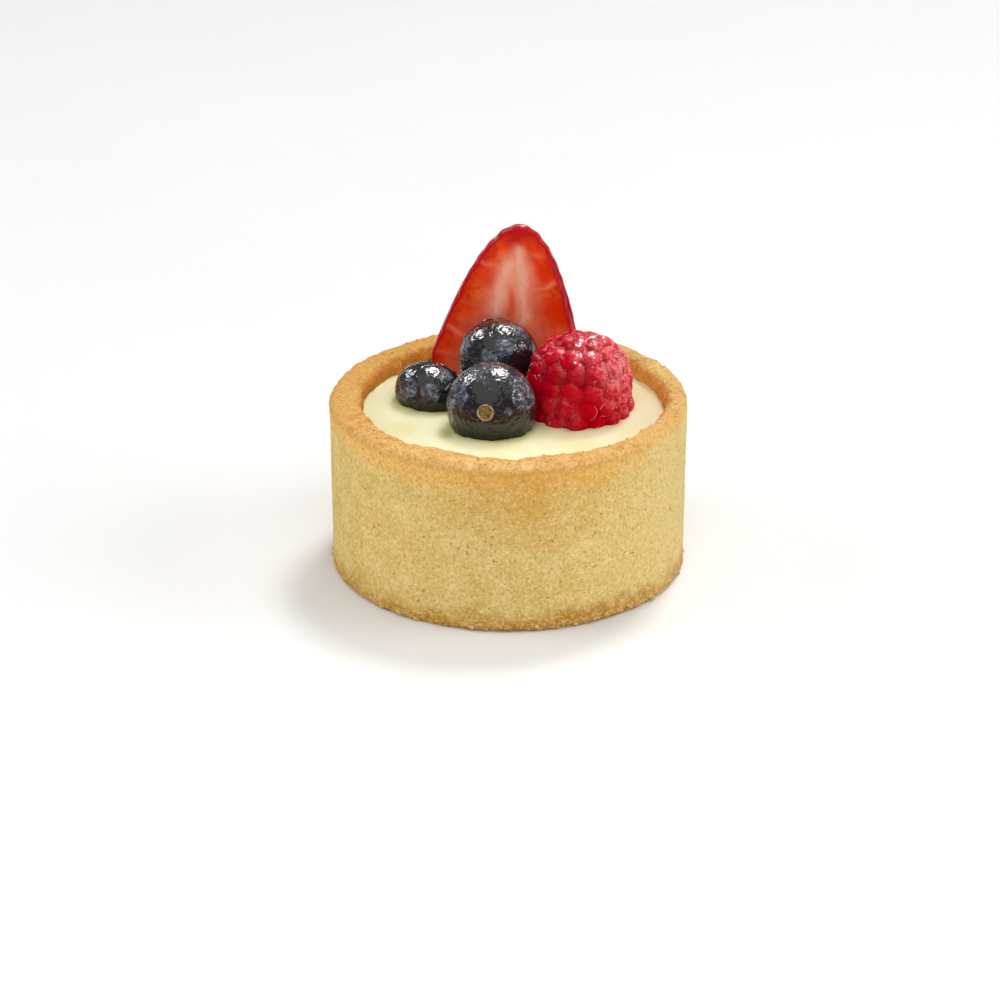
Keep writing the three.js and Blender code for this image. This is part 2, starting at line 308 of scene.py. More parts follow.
class Paint:
    """A procedural material: a Principled shader and the nodes that feed it.

    A value is a number, a colour, the output of a node or the name of a painted attribute.
    """

    def __init__(self, name, **values):
        self.material = bpy.data.materials.new(name)
        self.material.use_nodes = True
        self.tree = self.material.node_tree
        self.shader = self.tree.nodes["Principled BSDF"]
        self.feed(**values)
        metres = self.node("ShaderNodeTexCoord", {}, "Object")
        self.place = self.node("ShaderNodeVectorMath", {0: metres, "Scale": METRE}, operation="SCALE")

    def put(self, socket, value):
        """Feeds a socket with a value."""
        if isinstance(value, str):
            value = self.node("ShaderNodeAttribute", {}, "Fac", attribute_name=value)
        if isinstance(value, bpy.types.NodeSocket):
            self.tree.links.new(value, socket)
        elif socket.type == "RGBA":
            socket.default_value = (*value, 1)
        else:
            socket.default_value = value

    def feed(self, **values):
        """Feeds the shader's own sockets."""
        for name, value in values.items():
            self.put(self.shader.inputs[name.replace("_", " ")], value)

    def node(self, kind, inputs, output=0, **settings):
        """The output of a new node with its settings made and its inputs fed."""
        node = self.tree.nodes.new(kind)
        for name, value in settings.items():
            setattr(node, name, value)
        for name, value in inputs.items():
            self.put(node.inputs[name], value)
        return node.outputs[output]

    def noise(self, cell, detail=2.0, roughness=0.5, distortion=0.0, place=None):
        """Noise with bumps about one cell across, in millimetres."""
        inputs = {
            "Vector": place or self.place,
            "Scale": 1 / cell,
            "Detail": detail,
            "Roughness": roughness,
            "Distortion": distortion,
        }
        return self.node("ShaderNodeTexNoise", inputs)

    def stretched(self, x, y, z):
        """Position with each axis stretched by a factor."""
        return self.node("ShaderNodeVectorMath", {0: self.place, 1: (x, y, z)}, operation="DIVIDE")

    def ramp(self, value, low, high, start=0.0, end=1.0):
        """start below low and end above high, with a smooth change between."""
        inputs = {"Value": value, "From Min": low, "From Max": high, "To Min": start, "To Max": end}
        return self.node("ShaderNodeMapRange", inputs, interpolation_type="SMOOTHSTEP")

    def math(self, operation, first, *others):
        """One operation on all the values, from the first on."""
        for other in others:
            first = self.node("ShaderNodeMath", {0: first, 1: other}, operation=operation)
        return first

    def times(self, first, *others):
        return self.math("MULTIPLY", first, *others)

    def most(self, first, *others):
        return self.math("MAXIMUM", first, *others)

    def mix(self, share, first, second):
        """First colour where the share is 0, second where it is 1."""
        return self.node("ShaderNodeMix", {0: share, 6: first, 7: second}, 2, data_type="RGBA")

    def laid(self, colour, *layers):
        """A colour with others laid over it, each by its share."""
        for share, layer in layers:
            colour = self.mix(share, colour, layer)
        return colour

    def relief(self, height, depth, coat=False):
        """Bump of a height between 0 and 1, depth millimetres deep."""
        bump = self.node("ShaderNodeBump", {"Height": height, "Distance": depth / METRE})
        self.feed(Normal=bump)
        if coat:
            self.feed(Coat_Normal=bump)


PASTRY_SANDY = (0.73, 0.53, 0.17)
PASTRY_PALE = (0.85, 0.66, 0.28)
PASTRY_GRAIN = (0.66, 0.38, 0.07)
PASTRY_LIGHT = (0.92, 0.74, 0.37)
PASTRY_GOLDEN = (0.98, 0.52, 0.13)
PASTRY_BROWN = (0.70, 0.34, 0.06)
# Peach: the light grains of baked parts, and the painted highlight on the rim.
PASTRY_PEACH = (0.94, 0.61, 0.26)
PASTRY_RIM = (0.68, 0.32, 0.075)
PASTRY_INNER = (0.92, 0.35, 0.045)
PASTRY_INNER_SHADE = (0.58, 0.165, 0.014)
PASTRY_FOOT = (0.43, 0.175, 0.008)
PASTRY_SPECK = (0.58, 0.31, 0.05)
PASTRY_MOTTLE = (0.50, 0.17, 0.018)
PASTRY_PORE = (0.38, 0.22, 0.045)


def pastry_paint():
    """Sandy short pastry, golden under the rim and brown at the foot, with grains and pores."""
    paste = Paint("pastry", Roughness=0.72, Specular_IOR_Level=0.02)
    cloud = paste.noise(5.0, detail=5, roughness=0.75)
    patchy = paste.ramp(paste.noise(0.85, detail=4, roughness=0.8), 0.40, 0.58, 0.4, 1.0)
    golden = paste.times("golden", paste.ramp(patchy, 0.4, 1, 0.75, 1.0))
    brown = paste.times("brown", patchy)
    foot = paste.times("foot", patchy)
    edge = paste.most("rim", "inner")
    baked = paste.most(brown, golden, edge, foot)
    mottle = paste.ramp(paste.noise(1.2, detail=5, roughness=0.85), 0.50, 0.60, 0.0, 0.65)
    grain = paste.noise(0.62, detail=4, roughness=0.85)
    light = paste.times(paste.ramp(grain, 0.52, 0.64), paste.ramp(baked, 0.2, 0.9, 0.85, 0.6))
    speck = paste.ramp(paste.noise(0.5, detail=3, roughness=0.8), 0.57, 0.63)
    pore = paste.ramp(paste.noise(0.8, detail=3, roughness=0.7), 0.64, 0.69)
    colour = paste.laid(
        PASTRY_SANDY,
        # Pale: partly cloudy pale patches, partly painted light on the crust's right side.
        (paste.most(paste.ramp(cloud, 0.35, 0.7), "pale"), PASTRY_PALE),
        (golden, PASTRY_GOLDEN),
        (brown, PASTRY_BROWN),
        (foot, PASTRY_FOOT),
        ("rim", PASTRY_RIM),
        ("inner", PASTRY_INNER),
        # Painted shade on the left of the inner wall.
        ("inner_left_shade", PASTRY_INNER_SHADE),
        # The peach crest: a painted highlight along the front of the rim, partly pale crumb.
        ("crest", PASTRY_PEACH),
        (paste.times(edge, mottle), PASTRY_MOTTLE),
        (paste.ramp(grain, 0.49, 0.35, 0.0, 0.95), PASTRY_GRAIN),
        (light, paste.mix(baked, PASTRY_LIGHT, PASTRY_PEACH)),
        (paste.times(speck, paste.ramp(baked, 0, 0.8, 0.5, 0.75)), PASTRY_SPECK),
        (paste.times(pore, 0.75), PASTRY_PORE),
    )
    paste.feed(Base_Color=colour)
    crumb = paste.math("ADD", paste.times(grain, 0.7), paste.times(paste.noise(0.25, detail=1), 0.3))
    paste.relief(paste.math("SUBTRACT", crumb, paste.times(pore, 0.6)), 0.36)
    return paste.material


CUSTARD_CREAM = (0.87, 0.83, 0.54)
CUSTARD_DEEP = (0.84, 0.77, 0.43)
CUSTARD_OLIVE_AND_SHADE = (0.40, 0.42, 0.055)
CUSTARD_PINK = (0.86, 0.50, 0.30)


def custard_paint():
    """Smooth pale yellow custard, tinted by the berries that lie in it, with painted shade round the
    blueberries and a painted shadow beside the front one.
    """
    cream = Paint(
        "custard",
        Roughness=0.32,
        Specular_IOR_Level=0.05,
        Subsurface_Weight=0.35,
        Subsurface_Scale=0.002,
        Subsurface_Radius=(1.0, 0.75, 0.35),
    )
    deep = cream.ramp(cream.noise(7.0), 0.35, 0.7)
    layers = [(deep, CUSTARD_DEEP), ("olive", CUSTARD_OLIVE_AND_SHADE), ("pink", CUSTARD_PINK)]
    cream.feed(Base_Color=cream.laid(CUSTARD_CREAM, *layers))
    cream.relief(cream.noise(1.6), 0.05)
    return cream.material


BLUEBERRY_SKIN = (0.010, 0.010, 0.012)
BLUEBERRY_PLUM = (0.016, 0.009, 0.012)
BLUEBERRY_BLOOM_AND_REFLECTION = (0.26, 0.29, 0.37)
BLUEBERRY_OLIVE = (0.055, 0.046, 0.030)
SCAR_RING = (0.50, 0.37, 0.22)
SCAR_HOLLOW = (0.30, 0.17, 0.02)
CROWN_EDGE = (0.045, 0.022, 0.024)


def blueberry_paint():
    """Wet dark skin with patches of waxy bloom that also stand for painted reflections, a pale stem scar
    and a ragged crown.
    """
    skin = Paint("blueberry", Specular_IOR_Level=0.2, Coat_Roughness=0.06)
    fine = skin.noise(0.5, detail=3, roughness=0.7)
    mottle = skin.noise(1.3, detail=5, roughness=0.75, distortion=0.8)
    bloom = skin.times(
        "bloom", skin.ramp(mottle, 0.42, 0.62, 0.08, 1.0), skin.ramp(fine, 0.35, 0.60, 0.35, 1.0)
    )
    fleck = skin.ramp(skin.noise(0.55, detail=3, roughness=0.7, distortion=1.5), 0.54, 0.66)
    pith = skin.ramp(skin.noise(0.5, detail=3), 0.34, 0.52)
    colour = skin.laid(
        BLUEBERRY_SKIN,
        (skin.ramp(skin.noise(5.0), 0.4, 0.65), BLUEBERRY_PLUM),
        # Bloom, partly painted reflection of the side lights.
        (bloom, BLUEBERRY_BLOOM_AND_REFLECTION),
        (skin.times("low", fleck), BLUEBERRY_OLIVE),
        ("crown", CROWN_EDGE),
        ("scar_hollow", skin.mix(pith, BLUEBERRY_SKIN, SCAR_HOLLOW)),
        (skin.times("scar_ring", skin.ramp(pith, 0, 1, 0.25, 0.85)), SCAR_RING),
    )
    wet = skin.times(skin.ramp("low", 0, 1, 0.9, 0.15), skin.ramp(bloom, 0, 1, 1, 0.6))
    skin.feed(Base_Color=colour, Roughness=skin.ramp(bloom, 0, 1, 0.25, 0.55), Coat_Weight=wet)
    skin.relief(skin.noise(1.1, detail=1, roughness=0.5, distortion=0.5), 0.27, coat=True)
    return skin.material


RASPBERRY_RED = (0.37, 0.0002, 0.008)
RASPBERRY_CREASE_SHADE = (0.20, 0.0002, 0.005)
RASPBERRY_BRIGHT = (0.60, 0.0006, 0.016)
RASPBERRY_FUZZ_AND_HIGHLIGHT = (0.88, 0.25, 0.26)


def raspberry_paint():
    """Juicy crimson drupelets with painted shade in the creases, a painted highlight on each one's upper
    right, a broken veil that is partly painted light, and wet sparkles.
    """
    flesh = Paint(
        "raspberry",
        Specular_IOR_Level=0.0,
        Subsurface_Weight=0.25,
        Subsurface_Scale=0.0015,
        Subsurface_Radius=(1.0, 0.05, 0.05),
        Coat_Roughness=0.15,
    )
    veil = flesh.ramp(flesh.noise(0.9, detail=3, roughness=0.7, distortion=0.6), 0.42, 0.56, 0.12, 1.0)
    drops = flesh.ramp(flesh.noise(0.8), 0.44, 0.56, 0.35, 1.0)
    colour = flesh.laid(
        RASPBERRY_RED,
        # Brighter drupelets: half random, half painted highlight on their upper right.
        ("tone", RASPBERRY_BRIGHT),
        # Painted shade in the creases between drupelets.
        ("crease", RASPBERRY_CREASE_SHADE),
        # The pink veil: partly fuzz, partly painted light.
        (flesh.times("fuzz", veil), RASPBERRY_FUZZ_AND_HIGHLIGHT),
    )
    wet = flesh.times(flesh.ramp("wet", 0, 1, 0.05, 0.8), drops)
    flesh.feed(Base_Color=colour, Roughness=flesh.ramp(veil, 0.3, 1.0, 0.22, 0.4), Coat_Weight=wet)
    flesh.relief(flesh.noise(0.9, detail=1, roughness=0.5, distortion=0.8), 0.34, coat=True)
    return flesh.material


HAIR_PALE = (0.84, 0.26, 0.28)


def hair_paint():
    """Pale withered hairs of the raspberry."""
    hair = Paint("raspberry_hair", Roughness=0.4, Specular_IOR_Level=0.06)
    hair.feed(Base_Color=hair.mix(hair.noise(1.5), HAIR_PALE, RASPBERRY_FUZZ_AND_HIGHLIGHT))
    return hair.material


FLESH_RED = (0.84, 0.036, 0.007)
FLESH_ORANGE = (0.90, 0.095, 0.006)
FLESH_DARK = (0.46, 0.012, 0.007)
FLESH_CORE = (0.96, 0.36, 0.22)
FLESH_STREAK = (0.96, 0.54, 0.40)
FLESH_BLOB = (0.78, 0.036, 0.001)
FLESH_VEIN = (0.92, 0.22, 0.11)
SKIN_RED = (0.54, 0.002, 0.006)
SKIN_DARK = (0.28, 0.001, 0.010)


def strawberry_paint():
    """Glossy red skin and a wet cut face with a pale core, streaks and veins."""
    berry = Paint(
        "strawberry",
        Specular_IOR_Level=0.05,
        Subsurface_Weight=0.2,
        Subsurface_Scale=0.002,
        Subsurface_Radius=(1.0, 0.25, 0.12),
        Coat_Roughness=0.10,
    )
    fibre = berry.noise(0.8, detail=4, roughness=0.6, place=berry.stretched(1.0, 1.0, 3.0))
    cloud = berry.noise(3.5, detail=3, roughness=0.6)
    mottle = berry.noise(2.4, detail=4, roughness=0.6)
    grit = berry.noise(0.9, detail=3, roughness=0.7)
    face = berry.laid(
        FLESH_RED,
        (berry.ramp(cloud, 0.35, 0.65), FLESH_ORANGE),
        (berry.ramp(mottle, 0.54, 0.34, 0.0, 0.6), FLESH_DARK),
        (berry.ramp(grit, 0.46, 0.34, 0.0, 0.45), FLESH_DARK),
        ("blob", FLESH_BLOB),
        ("core", FLESH_CORE),
        ("vein", FLESH_VEIN),
        (berry.times("streak", berry.ramp(fibre, 0.3, 0.65, 0.45, 1.0)), FLESH_STREAK),
        ("rind", SKIN_RED),
    )
    skin = berry.mix(berry.ramp(cloud, 0.3, 0.7), SKIN_RED, SKIN_DARK)
    berry.feed(
        Base_Color=berry.mix("face", skin, face),
        Coat_Weight=berry.ramp("face", 0, 1, 0.45, 0.06),
        Roughness=berry.ramp(fibre, 0.3, 0.7, 0.24, 0.42),
    )
    berry.relief(fibre, 0.14, coat=True)
    return berry.material


SEED_STRAW = (0.62, 0.34, 0.07)
SEED_BROWN = (0.34, 0.10, 0.02)


def seed_paint():
    """Straw-coloured seeds."""
    seed = Paint("strawberry_seed", Roughness=0.4, Specular_IOR_Level=0.5)
    seed.feed(Base_Color=seed.mix(seed.noise(1.2, detail=3), SEED_STRAW, SEED_BROWN))
    return seed.material


FLOOR_WHITE = (0.80, 0.80, 0.80)
FLOOR_GREY = (0.78, 0.78, 0.78)


def floor_paint():
    """Plain pale studio floor."""
    ground = Paint("floor", Roughness=0.6, Specular_IOR_Level=0.2)
    ground.feed(Base_Color=ground.mix(ground.noise(60.0), FLOOR_WHITE, FLOOR_GREY))
    return ground.material


def line(start, end, step):
    """Points from start to just before end, about one step apart."""
    count = max(1, round(math.dist(start, end) / step))
    share = np.arange(count)[:, None] / count
    return np.array(start) + (np.array(end) - np.array(start)) * share


def arc(middle, reach, start, end, step):
    """Points on a quarter of an ellipse, from one angle to just before the other."""
    count = max(2, round(abs(end - start) * sum(reach) / 2 / step))
    turn = start + (end - start) * np.arange(count) / count
    return np.column_stack([middle[0] + reach[0] * np.cos(turn), middle[1] + reach[1] * np.sin(turn)])


def bore_radius(height):
    return CUP_RADIUS - WALL - BORE_TAPER * (1 - height / CUSTARD_LEVEL)


def edge_swing(angle, height):
    """The inner wall is even at the floor and most uneven at the rim."""
    return RIM_EDGE_SWING * wobble(angle, EDGE_WAVES) * smoothstep(FLOOR, CUP_HEIGHT, height)


def cup_profile():
    """Radius and height from the middle of the underside over the rim to the floor's middle,
    and the row where the inner wall starts."""
    foot = CUP_RADIUS - WALL_LEAN
    shoulder = CUP_HEIGHT - RIM_OUTER_ROUND[1]
    inner_shoulder = CUP_HEIGHT - RIM_DIP - RIM_INNER_ROUND[1]
    wall_top = CUP_RADIUS - WALL
    floor_edge = bore_radius(FLOOR)
    outside = [
        line((4, 0), (foot - FOOT_BEVEL, 0), 5),
        line((foot - FOOT_BEVEL, 0), (foot, FOOT_BEVEL), 0.3),
        line((foot, FOOT_BEVEL), (CUP_RADIUS, shoulder), WALL_STEP),
        arc((CUP_RADIUS - RIM_OUTER_ROUND[0], shoulder), RIM_OUTER_ROUND, 0, math.pi / 2, 0.36),
    ]
    inside = [
        arc((wall_top + RIM_INNER_ROUND[0], inner_shoulder), RIM_INNER_ROUND, math.pi / 2, math.pi, 0.36),
        line((wall_top, inner_shoulder), (bore_radius(28), 28), 0.5),
        line((bore_radius(28), 28), (floor_edge, FLOOR + BORE_CORNER), 5),
        line((floor_edge, FLOOR + BORE_CORNER), (floor_edge - BORE_CORNER, FLOOR), 3),
        line((floor_edge - BORE_CORNER, FLOOR), (2, FLOOR), 6),
    ]
    return np.vstack(outside + inside), sum(len(part) for part in outside)


def profile_normals(profile):
    """Outward direction at each point of an outline that runs with its outside on the right."""
    along = unit(np.gradient(profile, axis=0))
    return np.column_stack([along[:, 1], -along[:, 0]])


def pastry_relief(points, height, inside):
    """How far the baked surface stands out from the plain cup."""
    swell = 0.10 * rough_noise(points, 7.0, 2, seed=1)
    lumps = 0.09 * rough_noise(points, 1.9, 3, seed=4)
    crumb = 0.05 * noise(points, 0.7, seed=8)
    chips = 0.40 * rough_noise(points, 1.2, 3, seed=9) * smoothstep(3.2, 0.8, height) * (1 - inside)
    rim = 0.30 * rough_noise(points, 1.7, 2, seed=12) + 0.13 * rough_noise(points, 0.8, 2, seed=15)
    rim *= smoothstep(32, 34, height)
    ragged = 0.50 * rough_noise(points, 1.9, 3, seed=14) * inside * smoothstep(28, 30, height)
    pits = -0.28 * smoothstep(0.52, 0.8, noise(points, 0.95, seed=17)) * (1 - inside)
    return (swell + lumps + crumb + chips + rim + ragged + pits) * smoothstep(0.0, 0.7, height)


def bake(points, angle, height, inside):
    """Shares of the baked colours over the crust, with painted light on its right side, a painted
    highlight along the front of the rim and painted shade on the left of the inner wall.
    """
    cloud = rough_noise(points, 6.0, 4, seed=21)
    fine = rough_noise(points, 1.5, 3, seed=27)
    front = hill(angle, 1.0)
    band = smoothstep(29.6 - 3.4 * front, 33.2, height + 1.2 * cloud + 0.8 * fine)
    # The right side is laid paler and less golden than the rest: painted light on the side the lamps fall
    # on.
    right = smoothstep(0.2, 1.2, angle) * smoothstep(2.9, 2.0, angle)
    golden = band * (0.62 + 0.33 * front - 0.6 * right) * (1 - inside)
    patch = hill(angle - 0.06, 0.48) * smoothstep(15, 27, height + 4 * cloud + 2 * fine)
    stains = 0.4 * smoothstep(0.25, 0.7, cloud + 0.3 * fine)
    foot_line = 5.2 + 2.0 * cloud + 1.6 * fine
    foot = smoothstep(foot_line + 0.6 * front, foot_line - 3.8, height) * (1 - inside)
    foot *= 0.7 + 0.3 * front
    inner = inside * smoothstep(35.0, 33.4, height)
    # A painted highlight along the rim's outer edge, strongest at the front.
    outer_crest = (1 - inside) * smoothstep(33.2, 34.2, height)
    outer_crest += 0.7 * inside * smoothstep(34.2, 34.8, height)
    outer_crest *= (0.15 + 0.85 * front) * (0.75 + 0.7 * fine)
    # A pale band on top of the rim, strongest at the front: pale crumb and painted highlight.
    reach = np.hypot(points[:, 0] - 0.5 * BORE_SHIFT, points[:, 1])
    top = 0.9 * hill(reach - 32.6, 1.3) * smoothstep(33.6, 34.5, height)
    top *= (0.35 + 0.65 * front) * (0.7 + 0.8 * fine + 0.5 * cloud)
    return {
        # Painted light: the pale colour laid over the crust's right side.
        "pale": right,
        "golden": golden,
        "brown": np.clip(0.72 * patch + stains * 0.5, 0, 1),
        "foot": foot,
        "rim": smoothstep(32.6, 34.2, height) * (0.85 + 0.2 * cloud - 0.3 * right),
        "inner": np.clip(inner * (0.9 + 0.4 * cloud), 0, 1),
        # Painted shade: the inner wall is laid darker on the left, and the plain inner colour stands for
        # its lit right side.
        "inner_left_shade": inner * smoothstep(0.3, -0.5, np.sin(angle)) * (0.9 + 0.1 * fine),
        "crest": np.clip(np.maximum(outer_crest, top), 0, 1),
    }


def make_crust(material):
    """The cup with its uneven rim, its bore a little right of its own middle."""
    profile, inner_row = cup_profile()
    normals = profile_normals(profile)
    rows = len(profile)
    angle = np.tile(full_turn(CRUST_SIDES), (rows, 1))
    radius = np.repeat(profile[:, :1], CRUST_SIDES, axis=1)
    height = np.repeat(profile[:, 1:], CRUST_SIDES, axis=1)
    inside = np.repeat((np.arange(rows) >= inner_row)[:, None], CRUST_SIDES, axis=1).astype(float)
    flat = turned(radius, angle, height).reshape(-1, 3)
    bulge = pastry_relief(flat, height.ravel(), inside.ravel()).reshape(rows, -1)
    reach = radius + bulge * normals[:, :1] + inside * edge_swing(angle, height)
    lift = RIM_HEIGHT_SWING * wobble(angle, RIM_WAVES) * smoothstep(CUSTARD_LEVEL, CUP_HEIGHT, height)
    top = height + lift + bulge * normals[:, 1:]
    rings = turned(reach, angle, np.maximum(top, 0))
    rings[..., 0] += BORE_SHIFT * inside
    points, faces = closed_skin(rings, (0, 0, 0), (BORE_SHIFT, 0, FLOOR))
    crust = add_piece("crust_baked", points, faces, material)
    turn = np.arctan2(points[:, 0], -points[:, 1])
    paint(crust, **bake(points, turn, points[:, 2], np.append(inside.ravel(), [0, 1])))
    return dress(crust, "crust", "crust")


def unit_ball(rows, columns):
    """Rings and poles of a ball of radius 1, for seeds and crumbs."""
    return closed_skin(ball_rings(rows, columns), (0, 0, -1), (0, 0, 1))


def joined(parts):
    """One list of vertices and faces from many."""
    points = []
    faces = []
    count = 0
    for part_points, part_faces in parts:
        points.append(part_points)
        faces += [[i + count for i in face] for face in part_faces]
        count += len(part_points)
    return np.vstack(points), faces


def crumb(rng, place, size):
    """A small angular lump of pastry."""
    points, faces = unit_ball(4, 6)
    points = points * rng.uniform(0.7, 1.3, (len(points), 1))
    stretch = np.array([rng.uniform(0.7, 1.2), rng.uniform(0.7, 1.2), rng.uniform(0.5, 0.8)])
    return points * stretch * size + place, faces


def make_crumbs(crust_tree, material):
    """Loose crumbs that cling to the foot of the cup and to its rim."""
    rng = np.random.default_rng(CRUMB_SEED)
    parts = []
    for angle in rng.uniform(0, 2 * math.pi, 420):
        height = 0.25 + 1.5 * rng.random() ** 2
        probe = Vector((40 * math.sin(angle), -40 * math.cos(angle), height))
        place = crust_tree.ray_cast(probe, Vector((-math.sin(angle), math.cos(angle), 0)))[0]
        size = 0.20 + 0.5 * rng.random() ** 3
        parts.append(crumb(rng, np.array(place), min(size, height)))
    for angle in rng.uniform(0, 2 * math.pi, 200):
        reach = rng.uniform(30.6, 34.2)
        probe = Vector((reach * math.sin(angle), -reach * math.cos(angle), 60))
        place = crust_tree.ray_cast(probe, Vector((0, 0, -1)))[0]
        parts.append(crumb(rng, np.array(place), 0.14 + 0.3 * rng.random() ** 2))
    points, faces = joined(parts)
    crumbs = add_piece("crust_crumbs", points, faces, material)
    low = points[:, 2] < 10
    rim = 1 - low
    paint(crumbs, golden=0.3 * low, brown=0 * low + 0.25, foot=0.25 * low, rim=0.8 * rim)
    paint(crumbs, pale=1.0 * low, crest=0.2 + 0.2 * rim)
    return dress(crumbs, "crust")


def fruit_pockets(points, trees):
    """For each point of the level custard, the height of the fruit's underside above it and
    the distance to each fruit."""
    under = np.full(len(points), 1e3)
    near = {name: np.full(len(points), 1e3) for name in trees}
    up = Vector((0, 0, 1))
    for name, tree in trees.items():
        for i, point in enumerate(points):
            start = Vector(point)
            found = tree.find_nearest(start, 5.0)
            if found[0] is None:
                continue
            near[name][i] = found[3]
            hit = tree.ray_cast(Vector((point[0], point[1], FLOOR)), up)
            if hit[0] is not None and hit[0].z < CUSTARD_LEVEL + 2:
                inward = (start - found[0]).dot(found[1]) < 0
                if inward:
                    near[name][i] = -found[3]
                under[i] = min(under[i], hit[0].z)
    return under, near


def make_custard(trees, material):
    """The filling, level with a gentle swirl, clinging to the wall and to the fruit."""
    edge = bore_radius(CUSTARD_LEVEL)
    share = np.linspace(0, 1, CUSTARD_RINGS + 1)[1:]
    radius = np.repeat((edge * share**0.85)[:, None], CUSTARD_SIDES, axis=1)
    angle = np.tile(full_turn(CUSTARD_SIDES), (CUSTARD_RINGS, 1))
    reach = radius + edge_swing(angle, CUSTARD_LEVEL) * smoothstep(0.8, 1, share)[:, None]
    reach += 0.5 * smoothstep(0.97, 1, share)[:, None]
    swirl = np.sin(radius / CUSTARD_SWIRL_LENGTH + 2 * angle) * radius / edge
    flat = turned(reach, angle, CUSTARD_LEVEL + CUSTARD_SWING * swirl).reshape(-1, 3)
    flat[:, 0] += BORE_SHIFT
    under, near = fruit_pockets(flat, trees)
    closest = np.minimum.reduce(list(near.values()))
    wall = (edge + edge_swing(angle, CUSTARD_LEVEL) - radius).ravel()
    height = flat[:, 2] + 0.07 * noise(flat, 5.0, seed=31) + 0.02 * noise(flat, 1.4, seed=32)
    height += (0.26 + 0.22 * noise(flat, 1.5, seed=33)) * np.exp(-np.maximum(closest, 0) / 0.4)
    height += 0.35 * np.exp(-np.maximum(wall, 0) / 0.6)
    height = np.where(closest < -0.4, np.minimum(height, under + 0.4), height)
    flat[:, 2] = height
    rings = np.concatenate([flat.reshape(angle.shape + (3,)), filling_sides(angle[0])])
    middle = (BORE_SHIFT, 0, rings[0, :, 2].mean())
    points, faces = closed_skin(rings, middle, (BORE_SHIFT, 0, FLOOR + GAP))
    custard = add_piece("custard_filling", points, [face[::-1] for face in faces], material)
    tint_custard(custard, near, len(points))
    return dress(custard, "custard", "custard")


def filling_sides(angle):
    """Rings down the side of the filling, a gap inside the cup, to its underside."""
    outline = [
        (bore_radius(29) - GAP, 29, 1),
        (bore_radius(18) - GAP, 18, 0),
        (bore_radius(FLOOR) - GAP, FLOOR + GAP + BORE_CORNER, 0),
        (bore_radius(FLOOR) - GAP - BORE_CORNER, FLOOR + GAP, 0),
        (14, FLOOR + GAP, 0),
    ]
    rings = []
    for radius, height, swing in outline:
        rings.append(turned(radius + swing * edge_swing(angle, height), angle, 0 * angle + height))
    return np.array(rings) + (BORE_SHIFT, 0, 0)


def tint_custard(custard, near, count):
    """Berry juice round the fruit: olive by the blueberries and pink by the red fruit. The olive is also
    painted shade round the blueberries and a painted shadow of the front one.
    """
    points = np.array([vertex.co for vertex in custard.data.vertices]) * METRE
    spread = rough_noise(points, 3.0, 3, seed=35)[:count]
    olive = np.zeros(count)
    pink = np.zeros(count)
    for name, distance in near.items():
        far = np.concatenate([np.maximum(distance, 0), np.full(count - len(distance), 50.0)])
        if name.startswith("blueberry"):
            # Olive juice and painted shade close round each blueberry.
            olive = np.maximum(olive, 0.95 * np.exp(-far / (0.8 + 0.5 * spread)))
        else:
            pink = np.maximum(pink, 0.4 * np.exp(-far / 0.6))
    # A painted shadow of the front blueberry on the custard to its left and front.
    middle = BLUEBERRIES["blueberry_front"]["middle"]
    berry_shadow = hill(points[:, 0] - middle[0] + 8.6, 1.9) * hill(points[:, 1] - middle[1] + 3.2, 3.0)
    olive = np.maximum(olive, 0.95 * berry_shadow * (0.85 + 0.5 * spread))
    paint(custard, olive=np.clip(olive, 0, 1), pink=np.clip(pink, 0, 1))


def stood(points, direction, middle):
    """Points turned so that their Z axis lies along a direction, and moved to their place."""
    turn = Vector((0, 0, 1)).rotation_difference(Vector(direction).normalized()).to_matrix()
    return points @ np.array(turn).T + np.array(middle)


ON_SKIN, ON_RING, IN_SCAR, ON_CROWN = range(4)


def berry_profile(radius, half_height):
    """Radius, height and part of the berry, from the stem scar to the middle of the crown, and
    the heights of the crown's lip and dish."""
    start = math.asin(SCAR_RADIUS / radius)
    end = math.pi - math.asin(CROWN_RADIUS / radius)
    scar = -half_height * math.cos(start)
    brow = -half_height * math.cos(end)
    lip = brow + CROWN_HEIGHT * CROWN_SHRIVELLED
    dish = brow - CROWN_DEPTH
    turns = np.linspace(start, end, round(radius * (end - start) / BERRY_STEP))
    side = np.column_stack([radius * np.sin(turns), -half_height * np.cos(turns)])
    ring = 0.78 * SCAR_RADIUS
    inner = ring + 0.12
    slope = CROWN_RADIUS - CROWN_LIP
    wall = CROWN_RADIUS - CROWN_WALL
    parts = [
        (IN_SCAR, line((0.15, scar + SCAR_DEPTH), (ring * 0.8, scar + SCAR_DEPTH * 0.8), 0.12)),
        (IN_SCAR, line((ring * 0.8, scar + SCAR_DEPTH * 0.8), (ring, scar + 0.05), 0.1)),
        (ON_RING, line((ring, scar + 0.05), (inner, scar - 0.12), 0.07)),
        (ON_RING, line((inner, scar - 0.12), (SCAR_RADIUS, scar), 0.07)),
        (ON_SKIN, side),
        (ON_CROWN, line((CROWN_RADIUS, brow), (CROWN_RADIUS, lip), 0.1)),
        (ON_CROWN, line((CROWN_RADIUS, lip), (slope, lip - CROWN_LIP_SLOPE), 0.12)),
        (ON_CROWN, line((slope, lip - CROWN_LIP_SLOPE), (wall, dish), 0.15)),
        (ON_CROWN, line((wall, dish), (0.2, dish), 0.3)),
    ]
    kinds = np.concatenate([np.full(len(points), kind) for kind, points in parts])
    return np.vstack([points for _, points in parts]), kinds, lip, dish


